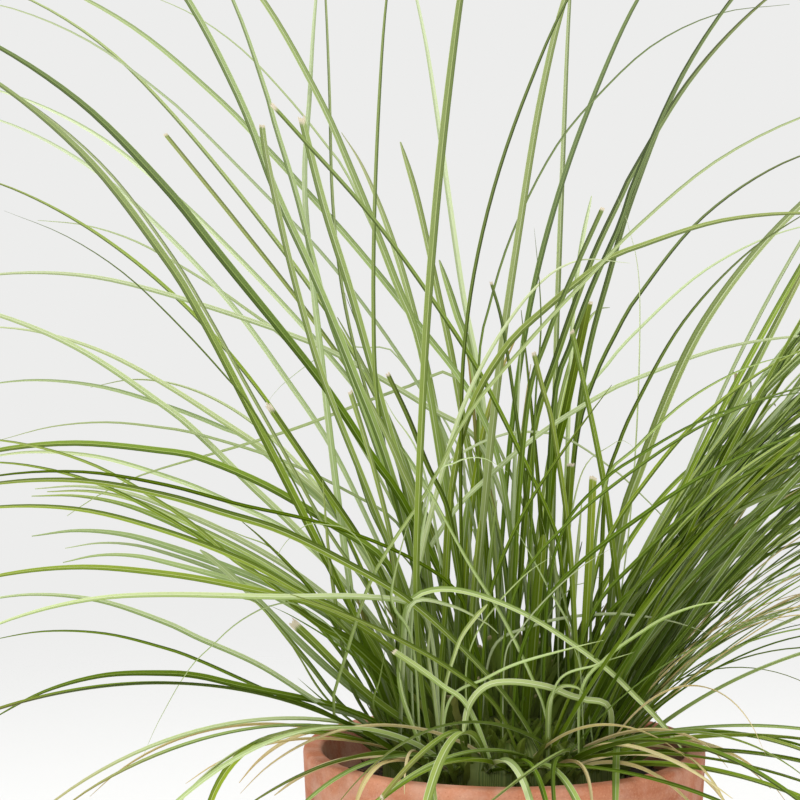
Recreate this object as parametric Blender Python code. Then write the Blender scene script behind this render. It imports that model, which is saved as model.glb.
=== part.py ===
"""Potted ornamental grass clump: a plain clay pot, its soil, the tufted crown and the main leaves.

Metres, +Z up, +X to the right and +Y away as seen from the front. The origin is the middle of
the pot's underside. Each piece is one named solid with its own finish.
"""

import math

import bmesh
import bpy
from mathutils import Vector

# Pot
POT_HEIGHT = 0.180
POT_BASE_RADIUS = 0.0675
POT_NECK_RADIUS = 0.0920
COLLAR_RADIUS = 0.1000
COLLAR_HEIGHT = 0.032
COLLAR_FLARE = 0.0015
POT_FLOOR = 0.009
POT_INNER_BASE_RADIUS = 0.0595
POT_INNER_TOP_RADIUS = 0.0920
RIM_ROUND = 0.0025
POT_SIDES = 48
DRAIN_HOLES = 3
DRAIN_RADIUS = 0.006
DRAIN_CIRCLE = 0.034
DRAIN_SIDES = 16
DRAIN_BEARING = math.radians(33.3)

# Soil and crown
GAP = 0.0003
SOIL_TOP = 0.160
SOIL_FLAT_RADIUS = 0.064
SOIL_RIPPLE = 0.0018
SOIL_RINGS = (0.072, 0.080)
SOIL_SIDES = 40
CROWN_RADIUS = 0.062
CROWN_RISE = 0.036
CROWN_SKIRT = 0.014
CROWN_FOOT_RADIUS = 0.058
CROWN_SHOULDER = 0.008
CROWN_RING_SHARES = (1.0, 0.86, 0.66, 0.42, 0.2)
CROWN_FLUTES = 18
CROWN_FLUTE_DEPTH = 0.0022
CROWN_SIDES = 72
LEAF_LIFT = 0.0015

# Leaves: a channelled blade, its thickness at the fold and the rise of its two halves
BLADE_THICKNESS = 0.0007
FOLD_ANGLE = math.radians(26)
LEAF_SEGMENTS = 15
ROUTE_DIVISIONS = 12
ROOT_WIDTH = 0.75
CUT_TAPER = 0.22
TIP_TAPER = 0.86
TAPER_START = 0.5
TAPER_POWER = 1.8
TURN_TO_FRONT = math.radians(62)

# Where the front leaves are looked at from, and the scale of their routes at the clump's middle
ROUTE_SCALE = 0.0005
EYE_DISTANCE = 1.4
EYE_RISE = math.radians(5)
CLUMP_MIDDLE = 505
SOIL_LINE = 790
ROUTE_CENTRE = (400, 400)
ROUTE_ROOT_LINE = 735

# The front leaves stand in layers, so that leaves that cross never touch
LAYER_STEP = 0.0030
FAN_START = 0.060
FAN_RATE = 7.5

# Each front leaf: name, finish, width and root across the crown in mm, then its route from root
# to tip as (across, down) in the 800 x 800 view, how it ends, and the length in mm and turn in
# degrees by which it goes on past the route. The list runs from the front layer to the back one.
FRONT_LEAVES = (
    ("leaf_front_arch_1", "two_tone", 4.0, 19, ((512, 707), (460, 647), (405, 598), (340, 560),
     (280, 531), (225, 514), (164, 496)), "fine", 120, 34),
    ("leaf_front_arch_2", "mid", 3.6, -36, ((402, 690), (404, 640), (412, 600), (455, 590),
     (525, 614), (600, 664), (636, 698)), "fine", 34, 10),
    ("leaf_upright_1", "olive", 4.6, -33, ((427, 707), (418, 610), (419, 510), (426, 350),
     (436, 220), (449, 94)), "fine", 170, 26),
    ("leaf_left_low_2", "light", 3.3, -33, ((432, 650), (415, 607), (360, 597), (280, 597),
     (164, 595)), "fine", 110, 30),
    ("leaf_left_low_3", "olive", 3.6, -29, ((428, 690), (380, 640), (320, 607), (240, 587),
     (164, 574)), "fine", 130, 34),
    ("leaf_stub_2", "olive", 5.4, -30, ((400, 720), (368, 695), (330, 660), (293, 623)), "cut", 0, 0),
    ("leaf_stub_3", "olive", 5.2, 38, ((586, 640), (589, 560), (594, 478)), "cut", 0, 0),
    ("leaf_left_low_1", "dark", 3.6, -36, ((352, 712), (310, 700), (240, 686), (200, 677),
     (164, 674)), "fine", 90, 40),
    ("leaf_left_wide", "dark", 6.6, -41, ((410, 707), (390, 680), (350, 642), (320, 626),
     (285, 602)), "fine", 0, 0),
    ("leaf_right_arch_1", "light", 3.6, -44, ((409, 670), (418, 575), (438, 490), (463, 408),
     (498, 338), (540, 283), (580, 260), (630, 263)), "fine", 0, 0),
    ("leaf_right_arch_2", "olive", 4.4, -30, ((445, 640), (449, 515), (468, 418), (505, 350),
     (550, 306), (605, 262), (636, 248)), "fine", 130, 40),
    ("leaf_left_1", "dark", 4.6, -43, ((392, 690), (342, 592), (300, 510), (240, 393),
     (200, 317), (164, 258)), "fine", 190, 40),
    ("leaf_left_2", "dark", 3.0, 31, ((566, 640), (560, 560), (549, 516), (500, 412),
     (460, 341), (380, 228), (300, 137), (273, 107)), "cut", 0, 0),
    ("leaf_right_1", "olive", 4.2, 54, ((622, 690), (620, 620), (608, 512), (595, 440),
     (571, 332)), "cut", 0, 0),
    ("leaf_left_3", "dark", 5.0, -8, ((470, 640), (405, 507), (370, 455), (318, 378),
     (220, 256), (164, 187)), "fine", 170, 36),
    ("leaf_left_4", "mid", 4.8, -34, ((428, 640), (392, 480), (352, 370), (315, 280),
     (275, 193), (236, 94)), "fine", 190, 44),
    ("leaf_right_2", "mid", 5.6, 46, ((606, 690), (610, 620), (620, 540), (636, 480)), "fine", 260, 52),
    ("leaf_upright_2", "olive", 4.6, -17, ((472, 700), (476, 610), (488, 475), (501, 360),
     (517, 250), (543, 94)), "fine", 170, 28),
    ("leaf_right_arch_3", "light", 2.9, -42, ((404, 650), (413, 585), (450, 517), (490, 476),
     (540, 434), (600, 396), (636, 379)), "fine", 140, 36),
    ("leaf_stub_1", "dark", 5.2, 27, ((563, 640), (567, 540), (570, 464)), "cut", 0, 0),
    ("leaf_stub_4", "dark", 5.4, 12, ((540, 600), (553, 470), (565, 415), (583, 335),
     (590, 302)), "cut", 0, 0),
    ("leaf_left_5", "mid", 5.2, -25, ((440, 690), (410, 510), (388, 430), (352, 297),
     (325, 208), (302, 119)), "cut", 0, 0),
    ("leaf_left_6", "dark", 4.4, -54, ((398, 655), (385, 585), (355, 532), (315, 474),
     (268, 407)), "cut", 0, 0),
    ("leaf_upright_3", "mid", 4.6, -13, ((458, 580), (423, 362), (394, 280), (350, 170),
     (316, 94)), "fine", 180, 36),
    ("leaf_left_7", "light", 4.0, -51, ((388, 690), (362, 660), (346, 560), (335, 480),
     (322, 370), (304, 200), (309, 94)), "fine", 120, 18),
    ("leaf_left_8", "mid", 3.9, 5, ((515, 600), (500, 470), (470, 395), (420, 328),
     (350, 241), (268, 150), (213, 94)), "fine", 170, 36),
    ("leaf_left_9", "light", 4.2, -36, ((420, 685), (380, 628), (310, 544), (245, 481),
     (200, 437), (164, 407)), "fine", 180, 38),
    ("leaf_right_3", "dark", 4.0, 7, ((518, 620), (533, 440), (557, 357), (590, 265),
     (620, 200), (636, 168)), "fine", 170, 34),
    ("leaf_right_4", "dark", 3.4, 25, ((565, 560), (584, 380), (611, 270), (636, 188)), "fine", 200, 40),
    ("leaf_left_10", "light", 3.5, 14, ((528, 640), (520, 560), (480, 445), (430, 409),
     (370, 373), (300, 339), (164, 294)), "fine", 150, 36),
    ("leaf_right_5", "dark", 3.4, -3, ((498, 620), (510, 450), (530, 310), (558, 198),
     (595, 94)), "fine", 180, 34),
    ("leaf_left_11", "olive", 3.3, -16, ((470, 680), (435, 540), (375, 412), (312, 319),
     (240, 227), (165, 135)), "cut", 0, 0),
    ("leaf_left_12", "light", 3.5, -7, ((485, 650), (440, 515), (370, 408), (300, 324),
     (222, 242), (164, 187)), "fine", 160, 36),
    ("leaf_left_13", "light", 3.3, -24, ((450, 690), (395, 580), (335, 455), (285, 378),
     (230, 303), (164, 232)), "fine", 170, 36),
    ("leaf_upright_4", "mid", 3.6, 20, ((550, 640), (555, 420), (558, 300), (566, 94)), "fine", 160, 22),
    ("leaf_upright_5", "light", 3.6, 4, ((505, 640), (482, 400), (461, 285), (434, 94)), "fine", 150, 28),
)

# Each other leaf: name, finish, width in mm, the bearing it grows to (0 right, 90 back, 180
# left, 270 front) with its root's place on the crown in mm, then the lean from upright in
# degrees at root and tip, and its length in mm.
SPREADING_LEAVES = (
    ("leaf_right_6", "mid", 4.6, 4, (56, -22), 22, 104, 400),
    ("leaf_right_7", "dark", 5.0, -16, (49, -35), 25, 82, 450),
    ("leaf_right_8", "olive", 4.4, 22, (50, 26), 16, 90, 450),
    ("leaf_right_9", "light", 3.6, -6, (58, 2), 40, 122, 360),
    ("leaf_right_10", "mid", 4.8, 32, (38, 41), 20, 84, 470),
    ("leaf_right_11", "light", 4.0, 12, (40, 15), 19, 66, 500),
    ("leaf_back_1", "mid", 4.6, 78, (11, 57), 22, 96, 420),
    ("leaf_back_2", "mid", 4.8, 104, (-14, 55), 16, 74, 460),
    ("leaf_back_3", "olive", 4.2, 56, (27, 50), 30, 112, 380),
    ("leaf_back_4", "light", 3.8, 128, (-35, 45), 26, 104, 400),
    ("leaf_back_5", "mid", 4.4, 92, (-2, 58), 42, 120, 320),
    ("leaf_back_6", "olive", 4.4, 146, (-45, 37), 16, 80, 460),
    ("leaf_front_1", "mid", 4.6, 262, (-9, -58), 58, 118, 330),
    ("leaf_front_2", "dark", 4.6, 292, (24, -54), 62, 112, 310),
    ("leaf_front_3", "light", 3.8, 236, (-27, -52), 56, 126, 290),
    ("leaf_front_4", "olive", 4.4, 316, (41, -44), 74, 126, 250),
    ("leaf_front_5", "mid", 4.2, 278, (8, -59), 66, 130, 240),
    ("leaf_front_6", "light", 4.0, 334, (53, -32), 44, 116, 340),
    ("leaf_front_7", "dark", 4.4, 222, (-44, -41), 54, 108, 320),
)

FINISHES = {
    "clay": ((0.44, 0.19, 0.105), 0.85),
    "soil": ((0.035, 0.024, 0.016), 0.95),
    "crown": ((0.075, 0.085, 0.020), 0.70),
    "mid": ((0.215, 0.300, 0.095), 0.50),
    "light": ((0.420, 0.480, 0.270), 0.50),
    "olive": ((0.260, 0.320, 0.070), 0.48),
    "dark": ((0.060, 0.110, 0.024), 0.45),
    "two_tone": ((0.150, 0.220, 0.060), 0.48),
}


def clear_scene():
    for item in list(bpy.data.objects):
        bpy.data.objects.remove(item, do_unlink=True)


def finish(item, kind):
    """Give a piece its own material."""
    colour, roughness = FINISHES[kind]
    material = bpy.data.materials.new(item.name + "_" + kind)
    material.use_nodes = True
    shader = material.node_tree.nodes["Principled BSDF"]
    shader.inputs["Base Color"].default_value = (*colour, 1)
    shader.inputs["Roughness"].default_value = roughness
    shader.inputs["Metallic"].default_value = 0
    item.data.materials.append(material)


def add_piece(name, mesh_builder, kind, sharp_angle=math.radians(40)):
    """Turn a bmesh into a named, smoothly shaded piece."""
    bmesh.ops.recalc_face_normals(mesh_builder, faces=mesh_builder.faces)
    mesh = bpy.data.meshes.new(name)
    mesh_builder.to_mesh(mesh)
    mesh_builder.free()
    mesh.shade_smooth()
    mesh.set_sharp_from_angle(angle=sharp_angle)
    item = bpy.data.objects.new(name, mesh)
    bpy.context.scene.collection.objects.link(item)
    finish(item, kind)
    return item


def turned(outline, sides):
    """A closed turned body from (radius, height) points, the first and last on the axis."""
    body = bmesh.new()
    rings = []
    for radius, height in outline:
        if radius == 0:
            rings.append([body.verts.new((0, 0, height))])
            continue
        ring = []
        for side in range(sides):
            angle = 2 * math.pi * side / sides
            ring.append(body.verts.new((radius * math.cos(angle), radius * math.sin(angle), height)))
        rings.append(ring)
    for inner, outer in zip(rings, rings[1:]):
        for side in range(sides):
            after = (side + 1) % sides
            if len(inner) == 1:
                body.faces.new((inner[0], outer[side], outer[after]))
            elif len(outer) == 1:
                body.faces.new((inner[side], outer[0], inner[after]))
            else:
                body.faces.new((inner[side], outer[side], outer[after], inner[after]))
    return body


def inner_radius(height):
    """The pot's inner radius at a height."""
    share = (height - POT_FLOOR) / (POT_HEIGHT - POT_FLOOR)
    return POT_INNER_BASE_RADIUS + share * (POT_INNER_TOP_RADIUS - POT_INNER_BASE_RADIUS)


def make_pot():
    collar_foot = POT_HEIGHT - COLLAR_HEIGHT
    outline = (
        (0, 0),
        (POT_BASE_RADIUS - RIM_ROUND, 0),
        (POT_BASE_RADIUS, RIM_ROUND),
        (POT_NECK_RADIUS, collar_foot),
        (COLLAR_RADIUS - RIM_ROUND, collar_foot),
        (COLLAR_RADIUS, collar_foot + RIM_ROUND),
        (COLLAR_RADIUS + COLLAR_FLARE, POT_HEIGHT - RIM_ROUND),
        (COLLAR_RADIUS + COLLAR_FLARE - RIM_ROUND, POT_HEIGHT),
        (POT_INNER_TOP_RADIUS + RIM_ROUND / 2, POT_HEIGHT),
        (inner_radius(POT_HEIGHT - RIM_ROUND), POT_HEIGHT - RIM_ROUND),
        (POT_INNER_BASE_RADIUS, POT_FLOOR),
        (0, POT_FLOOR),
    )
    pot = add_piece("pot", turned(outline, POT_SIDES), "clay")
    for hole in range(DRAIN_HOLES):
        angle = DRAIN_BEARING + 2 * math.pi * hole / DRAIN_HOLES
        cutter_mesh = turned(
            ((0, -POT_FLOOR), (DRAIN_RADIUS, -POT_FLOOR), (DRAIN_RADIUS, 2 * POT_FLOOR),
             (0, 2 * POT_FLOOR)),
            DRAIN_SIDES,
        )
        cutter = add_piece(f"drain_cutter_{hole + 1}", cutter_mesh, "clay")
        cutter.location = (DRAIN_CIRCLE * math.cos(angle), DRAIN_CIRCLE * math.sin(angle), 0)
        cutter.hide_render = True
        cutter.display_type = "WIRE"
        cut = pot.modifiers.new(f"drain_{hole + 1}", "BOOLEAN")
        cut.operation = "DIFFERENCE"
        cut.object = cutter
    return pot


def soil_height(radius, angle):
    """The soil's top: flat under the crown, gently uneven around it."""
    if radius < SOIL_FLAT_RADIUS + GAP:
        return SOIL_TOP
    ripple = math.sin(5 * angle + 0.6) + 0.6 * math.sin(9 * angle + 2.1 + 40 * radius)
    return SOIL_TOP + SOIL_RIPPLE * ripple


def make_soil():
    floor = POT_FLOOR + GAP
    edge = inner_radius(SOIL_TOP) - 2 * GAP
    rings = (edge, *reversed(SOIL_RINGS), SOIL_FLAT_RADIUS)
    body = turned(
        [(0, floor), (POT_INNER_BASE_RADIUS - 2 * GAP, floor)]
        + [(radius, SOIL_TOP) for radius in rings]
        + [(0, SOIL_TOP)],
        SOIL_SIDES,
    )
    for vertex in body.verts:
        reach = math.hypot(vertex.co.x, vertex.co.y)
        if vertex.co.z > floor + GAP and reach < edge - GAP:
            vertex.co.z = soil_height(reach, math.atan2(vertex.co.y, vertex.co.x))
    return add_piece("soil", body, "soil")


def crown_height(x, y):
    """The crown's height over the soil at a place: a low dome with a blunt skirt."""
    share = min(1, math.hypot(x, y) / CROWN_RADIUS)
    return CROWN_SKIRT + (CROWN_RISE - CROWN_SKIRT) * (1 - share ** 2)


def make_crown():
    floor = SOIL_TOP + GAP
    outline = [(0, 0), (CROWN_FOOT_RADIUS, 0), (CROWN_RADIUS, CROWN_SHOULDER)]
    for share in CROWN_RING_SHARES:
        outline.append((CROWN_RADIUS * share, crown_height(CROWN_RADIUS * share, 0)))
    outline += [(0, CROWN_RISE)]
    body = turned(outline, CROWN_SIDES)
    for vertex in body.verts:
        radius = math.hypot(vertex.co.x, vertex.co.y)
        if radius > 0:
            angle = math.atan2(vertex.co.y, vertex.co.x)
            wave = 0.5 - 0.5 * math.cos(CROWN_FLUTES * angle)
            pull = 1 - CROWN_FLUTE_DEPTH * wave * min(1, radius / CROWN_RADIUS) / radius
            vertex.co.x *= pull
            vertex.co.y *= pull
        vertex.co.z += floor
    return add_piece("crown", body, "crown")


def seen_point(across, down, depth):
    """The point at a depth that shows at (across, down) in the front view."""
    target = Vector((
        (ROUTE_CENTRE[0] - CLUMP_MIDDLE) * ROUTE_SCALE,
        0,
        SOIL_TOP + (SOIL_LINE - ROUTE_CENTRE[1]) * ROUTE_SCALE,
    ))
    forward = Vector((0, math.cos(EYE_RISE), -math.sin(EYE_RISE)))
    upward = Vector((0, math.sin(EYE_RISE), math.cos(EYE_RISE)))
    eye = target - EYE_DISTANCE * forward
    ray = EYE_DISTANCE * forward
    ray += Vector((1, 0, 0)) * (across - ROUTE_CENTRE[0]) * ROUTE_SCALE
    ray += upward * (ROUTE_CENTRE[1] - down) * ROUTE_SCALE
    return eye + ray * (depth - eye.y) / ray.y


def fanned(layer, across, down):
    """A layer's depth where its leaf shows: layers spread apart away from the crown."""
    reach = ROUTE_SCALE * math.hypot(across - CLUMP_MIDDLE, down - ROUTE_ROOT_LINE)
    return layer * (1 + FAN_RATE * max(0, reach - FAN_START))


def lean_on(start, heading, lean, last_lean, length, steps):
    """Points of a blade that leans over steadily from one angle to another."""
    points = [start]
    for step in range(steps):
        angle = lean + (last_lean - lean) * (step + 0.5) / steps
        way = heading * math.sin(angle) + Vector((0, 0, math.cos(angle)))
        points.append(points[-1] + way * length / steps)
    return points


def heading_of(way):
    """The level direction in which a blade leaves, and its lean from upright."""
    flat = Vector((way.x, way.y, 0))
    return flat.normalized(), math.atan2(flat.length, way.z)


def smooth_route(points, segments):
    """Evenly spaced points on a smooth curve through the given ones."""
    ends = [2 * points[0] - points[1]] + list(points) + [2 * points[-1] - points[-2]]
    fine = []
    for before, start, end, after in zip(ends, ends[1:], ends[2:], ends[3:]):
        for step in range(ROUTE_DIVISIONS):
            t = step / ROUTE_DIVISIONS
            fine.append(0.5 * (
                2 * start
                + (end - before) * t
                + (2 * before - 5 * start + 4 * end - after) * t ** 2
                + (3 * start - before - 3 * end + after) * t ** 3
            ))
    fine.append(points[-1])
    lengths = [0]
    for start, end in zip(fine, fine[1:]):
        lengths.append(lengths[-1] + (end - start).length)
    even = []
    at = 0
    for step in range(segments + 1):
        wanted = lengths[-1] * step / segments
        while at < len(fine) - 2 and lengths[at + 1] < wanted:
            at += 1
        share = (wanted - lengths[at]) / (lengths[at + 1] - lengths[at])
        even.append(fine[at].lerp(fine[at + 1], min(1, share)))
    return even


def blade_width(share, width, cut):
    """The width along a blade: narrower at the root, and tapering to the tip unless it is cut."""
    rising = min(1, ROOT_WIDTH + share)
    if cut:
        return width * rising * (1 - CUT_TAPER * share)
    beyond = max(0, share - TAPER_START) / (1 - TAPER_START)
    return width * rising * (1 - TIP_TAPER * beyond ** TAPER_POWER)


def make_leaf(name, kind, points, width, cut, side, turn):
    """A thin channelled blade along a route. Its channel faces up over the level direction
    side, turned about the route by some angle.
    """
    route = smooth_route(points, LEAF_SEGMENTS)
    body = bmesh.new()
    rings = []
    for index, point in enumerate(route):
        way = (route[min(index + 1, LEAF_SEGMENTS)] - route[max(index - 1, 0)]).normalized()
        upper = way.cross(side).normalized()
        face = (upper * math.cos(turn) + upper.cross(way) * math.sin(turn)).normalized()
        across = way.cross(face)
        half = blade_width(index / LEAF_SEGMENTS, width, cut) / 2
        edge = face * half * math.sin(FOLD_ANGLE)
        reach = across * half * math.cos(FOLD_ANGLE)
        thick = face * BLADE_THICKNESS / 2
        corners = (point - reach + edge, point - thick, point + reach + edge, point + thick)
        rings.append([body.verts.new(corner) for corner in corners])
    for ring, after in zip(rings, rings[1:]):
        for corner in range(4):
            opposite = (corner + 1) % 4
            body.faces.new((ring[corner], ring[opposite], after[opposite], after[corner]))
    for ring in (rings[0], rings[-1]):
        body.faces.new((ring[0], ring[1], ring[3]))
        body.faces.new((ring[1], ring[2], ring[3]))
    return add_piece(name, body, kind, math.radians(60))


def on_crown(x, y):
    """The place just over the crown where a leaf starts."""
    return Vector((x, y, SOIL_TOP + GAP + crown_height(x, y) + LEAF_LIFT))


def make_front_leaves():
    middle = (len(FRONT_LEAVES) - 1) / 2
    for index, leaf in enumerate(FRONT_LEAVES):
        name, kind, width, root, route, tip, onward, turn_down = leaf
        layer = (index - middle) * LAYER_STEP
        points = [on_crown(root / 1000, layer)]
        points += [seen_point(u, v, fanned(layer, u, v)) for u, v in route]
        if onward:
            heading, lean = heading_of(points[-1] - points[-2])
            tip_lean = lean + math.radians(turn_down)
            points += lean_on(points[-1], heading, lean, tip_lean, onward / 1000, 3)[1:]
        hand = 1 if points[-1].x < points[0].x else -1
        side = Vector((0, -hand, 0))
        make_leaf(name, kind, points, width / 1000, tip == "cut", side, hand * TURN_TO_FRONT)


def make_spreading_leaves():
    for name, kind, width, bearing, root, lean, tip_lean, length in SPREADING_LEAVES:
        angle = math.radians(bearing)
        heading = Vector((math.cos(angle), math.sin(angle), 0))
        start = on_crown(root[0] / 1000, root[1] / 1000)
        leans = (math.radians(lean), math.radians(tip_lean))
        points = lean_on(start, heading, *leans, length / 1000, 8)
        side = Vector((0, 0, 1)).cross(heading)
        make_leaf(name, kind, points, width / 1000, False, side, 0)


clear_scene()
make_pot()
make_soil()
make_crown()
make_front_leaves()
make_spreading_leaves()
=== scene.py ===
import math
import random

import bpy
import numpy as np
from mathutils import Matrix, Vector


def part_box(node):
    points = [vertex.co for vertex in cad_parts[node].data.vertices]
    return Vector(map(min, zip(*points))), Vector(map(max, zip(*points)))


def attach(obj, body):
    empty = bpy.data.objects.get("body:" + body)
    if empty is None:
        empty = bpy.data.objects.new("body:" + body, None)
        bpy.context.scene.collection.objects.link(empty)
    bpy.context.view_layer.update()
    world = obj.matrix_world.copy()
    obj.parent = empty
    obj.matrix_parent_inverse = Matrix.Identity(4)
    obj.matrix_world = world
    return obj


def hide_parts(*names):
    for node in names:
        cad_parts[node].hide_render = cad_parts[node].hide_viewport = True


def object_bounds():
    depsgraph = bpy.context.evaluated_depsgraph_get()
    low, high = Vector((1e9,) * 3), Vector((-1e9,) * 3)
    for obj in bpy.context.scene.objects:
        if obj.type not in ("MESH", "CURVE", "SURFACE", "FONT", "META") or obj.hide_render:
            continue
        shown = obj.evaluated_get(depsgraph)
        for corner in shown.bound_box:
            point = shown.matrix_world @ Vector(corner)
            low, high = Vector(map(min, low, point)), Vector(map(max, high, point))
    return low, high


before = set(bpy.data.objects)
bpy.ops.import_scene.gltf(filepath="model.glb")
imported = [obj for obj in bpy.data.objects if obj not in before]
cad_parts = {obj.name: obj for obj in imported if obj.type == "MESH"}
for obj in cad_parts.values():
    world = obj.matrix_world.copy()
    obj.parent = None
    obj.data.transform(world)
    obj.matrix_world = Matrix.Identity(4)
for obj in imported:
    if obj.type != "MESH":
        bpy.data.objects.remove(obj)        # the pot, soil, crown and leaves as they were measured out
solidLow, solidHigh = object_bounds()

print("frame loaded with", len(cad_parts), "pieces")

up = Vector((0, 0, 1))
crownGap = 0.0003        # the crown stands this far above the soil
crownLow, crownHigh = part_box("crown")
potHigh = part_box("pot")[1]
soilLevel = crownLow.z - crownGap

# View
viewValues = {
    "distance": 1.4,            # metres from the eye to the plane of the clump's middle
    "rise": math.radians(5),    # how far above level the eye stands
    "scale": 0.0005,            # metres in one pixel of the view, at that plane
    "pixels": 800,              # how wide the view is
    "centre": (400, 400),
    "clumpAcross": 505,         # where the clump's middle and the soil show
    "soilDown": 790,
    "sensor": 36,               # mm
}


def eyeAxes():
    rise = viewValues["rise"]
    forward = Vector((0, math.cos(rise), -math.sin(rise)))
    upward = Vector((0, math.sin(rise), math.cos(rise)))
    scale = viewValues["scale"]
    target = Vector((
        (viewValues["centre"][0] - viewValues["clumpAcross"]) * scale,
        0,
        soilLevel + (viewValues["soilDown"] - viewValues["centre"][1]) * scale,
    ))
    return target - forward * viewValues["distance"], forward, upward


def seenPoint(across, down, depth):
    # the point that shows at a place in the view and lies this far behind the clump's middle
    eye, forward, upward = eyeAxes()
    scale = viewValues["scale"]
    ray = forward * viewValues["distance"]
    ray += Vector((1, 0, 0)) * (across - viewValues["centre"][0]) * scale
    ray += upward * (viewValues["centre"][1] - down) * scale
    return eye + ray * (depth - eye.y) / ray.y


def seenAt(point):
    # where a point shows: the other way round from seenPoint
    eye, forward, upward = eyeAxes()
    ray = point - eye
    reach = viewValues["distance"] / ray.dot(forward) / viewValues["scale"]
    return viewValues["centre"][0] + ray.x * reach, viewValues["centre"][1] - ray.dot(upward) * reach


def addItem(name, data):
    item = bpy.data.objects.new(name, data)
    bpy.context.scene.collection.objects.link(item)
    return item


def aim(item, way):
    item.rotation_mode = "QUATERNION"
    item.rotation_quaternion = way.to_track_quat("-Z", "Y")


def makeCamera():
    eye, forward, _ = eyeAxes()
    data = bpy.data.cameras.new("camera")
    data.sensor_width = viewValues["sensor"]
    data.lens = viewValues["sensor"] * viewValues["distance"] / (viewValues["pixels"] * viewValues["scale"])
    camera = addItem("camera", data)
    camera.location = eye
    aim(camera, forward)
    bpy.context.scene.camera = camera


makeCamera()
print("camera placed")


# Node helpers
class NodeRoom:
    # builds the nodes of one material or group, and links them by plain calls

    def __init__(self, tree):
        self.tree = tree
        self.count = 0

    def fill(self, socket, value):
        if isinstance(value, bpy.types.NodeSocket):
            self.tree.links.new(value, socket)
        else:
            socket.default_value = value

    def add(self, kind, values=None, **settings):
        node = self.tree.nodes.new(kind)
        node.location = (180 * (self.count % 8), -220 * (self.count // 8))
        self.count += 1
        for name, value in settings.items():
            setattr(node, name, value)
        for name, value in (values or {}).items():
            self.fill(node.inputs[name], value)
        return node

    def math(self, operation, first, second=0.0):
        return self.add("ShaderNodeMath", {0: first, 1: second}, operation=operation).outputs[0]

    def times(self, first, second):
        return self.math("MULTIPLY", first, second)

    def scaled(self, value, factor, offset):
        values = {0: value, 1: factor, 2: offset}
        return self.add("ShaderNodeMath", values, operation="MULTIPLY_ADD").outputs[0]

    def another(self, draw, factor):
        # one more even draw between 0 and 1, worked out from another
        return self.math("FRACT", self.times(draw, factor))

    def ramp(self, value, low, high, outLow=0.0, outHigh=1.0):
        values = {"Value": value, "From Min": low, "From Max": high, "To Min": outLow, "To Max": outHigh}
        return self.add("ShaderNodeMapRange", values, interpolation_type="SMOOTHSTEP").outputs["Result"]

    def mix(self, share, first, second, blend="MIX"):
        values = {0: share, 6: first, 7: second}
        return self.add("ShaderNodeMix", values, data_type="RGBA", blend_type=blend).outputs[2]

    def layer(self, base, *coats):
        # lays coats of colour over a base, each given as how much of it shows and its colour
        for share, shade in coats:
            base = self.mix(share, base, shade)
        return base

    def noise(self, place, scale, detail=3.0, rough=0.5):
        values = {"Vector": place, "Scale": scale, "Detail": detail, "Roughness": rough}
        return self.add("ShaderNodeTexNoise", values).outputs["Fac"]

    def split(self, vector):
        return self.add("ShaderNodeSeparateXYZ", {0: vector}).outputs

    def join(self, first, second):
        return self.add("ShaderNodeCombineXYZ", {0: first, 1: second}).outputs[0]

    def stretch(self, vector, factors):
        values = {0: vector, 1: factors}
        return self.add("ShaderNodeVectorMath", values, operation="MULTIPLY").outputs[0]

    def read(self, name, output="Vector"):
        return self.add("ShaderNodeAttribute", attribute_name=name).outputs[output]

    def ownPlace(self):
        return self.add("ShaderNodeTexCoord").outputs["Object"]

    def use(self, group, values):
        return self.add("ShaderNodeGroup", values, node_tree=group).outputs

    def dress(self, shader, base, rough, gloss, bump):
        # bump: how strong it is, how deep in metres, and the height that it follows
        normal = self.add("ShaderNodeBump", dict(zip(("Strength", "Distance", "Height"), bump))).outputs[0]
        values = {"Base Color": base, "Roughness": rough, "Specular IOR Level": gloss, "Normal": normal}
        for name, value in values.items():
            self.fill(shader.inputs[name], value)


def colour(red, green, blue):
    # a colour given in screen values, as the shader's own linear values
    def linear(value):
        value /= 255
        return value / 12.92 if value <= 0.04045 else ((value + 0.055) / 1.055) ** 2.4
    return (linear(red), linear(green), linear(blue), 1)


def newGroup(name, inputs, outputs):
    # inputs: each label with its usual value; outputs: the labels
    tree = bpy.data.node_groups.new(name, "ShaderNodeTree")
    kinds = {"Place": "NodeSocketVector", "Color": "NodeSocketColor"}
    for label, usual in inputs.items():
        kind = kinds.get(label, "NodeSocketFloat")
        socket = tree.interface.new_socket(name=label, in_out="INPUT", socket_type=kind)
        if usual is not None:
            socket.default_value = usual
    for label in outputs:
        kind = kinds.get(label, "NodeSocketFloat")
        tree.interface.new_socket(name=label, in_out="OUTPUT", socket_type=kind)
    room = NodeRoom(tree)
    return room, room.add("NodeGroupInput").outputs, room.add("NodeGroupOutput").inputs


def newMaterial(name):
    material = bpy.data.materials.new(name)
    material.use_nodes = True
    return material, NodeRoom(material.node_tree), material.node_tree.nodes["Principled BSDF"]


# Lengthwise veins of a blade: pale raised lines beside the middle rib
def makeVeinGroup():
    inputs = {"Place": None, "Veins": 5.0, "Uneven": 0.6}
    room, given, out = newGroup("bladeVeins", inputs, ("Veins", "Rib", "Streaks"))
    across, _, along = room.split(given["Place"])
    drift = room.noise(room.join(room.times(across, 3.2), room.times(along, 26.0)), 1.0, 2.0)
    phase = room.times(across, room.times(given["Veins"], math.pi))
    phase = room.math("ADD", phase, room.times(drift, given["Uneven"]))
    room.fill(out["Veins"], room.scaled(room.math("COSINE", phase), 0.5, 0.5))
    room.fill(out["Rib"], room.ramp(room.math("ABSOLUTE", across), 0.04, 0.16, 1.0, 0.0))
    drawn = room.join(room.times(across, 7.0), room.times(along, 9.0))
    room.fill(out["Streaks"], room.noise(drawn, 1.6, 4.0, 0.6))
    return room.tree


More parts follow.
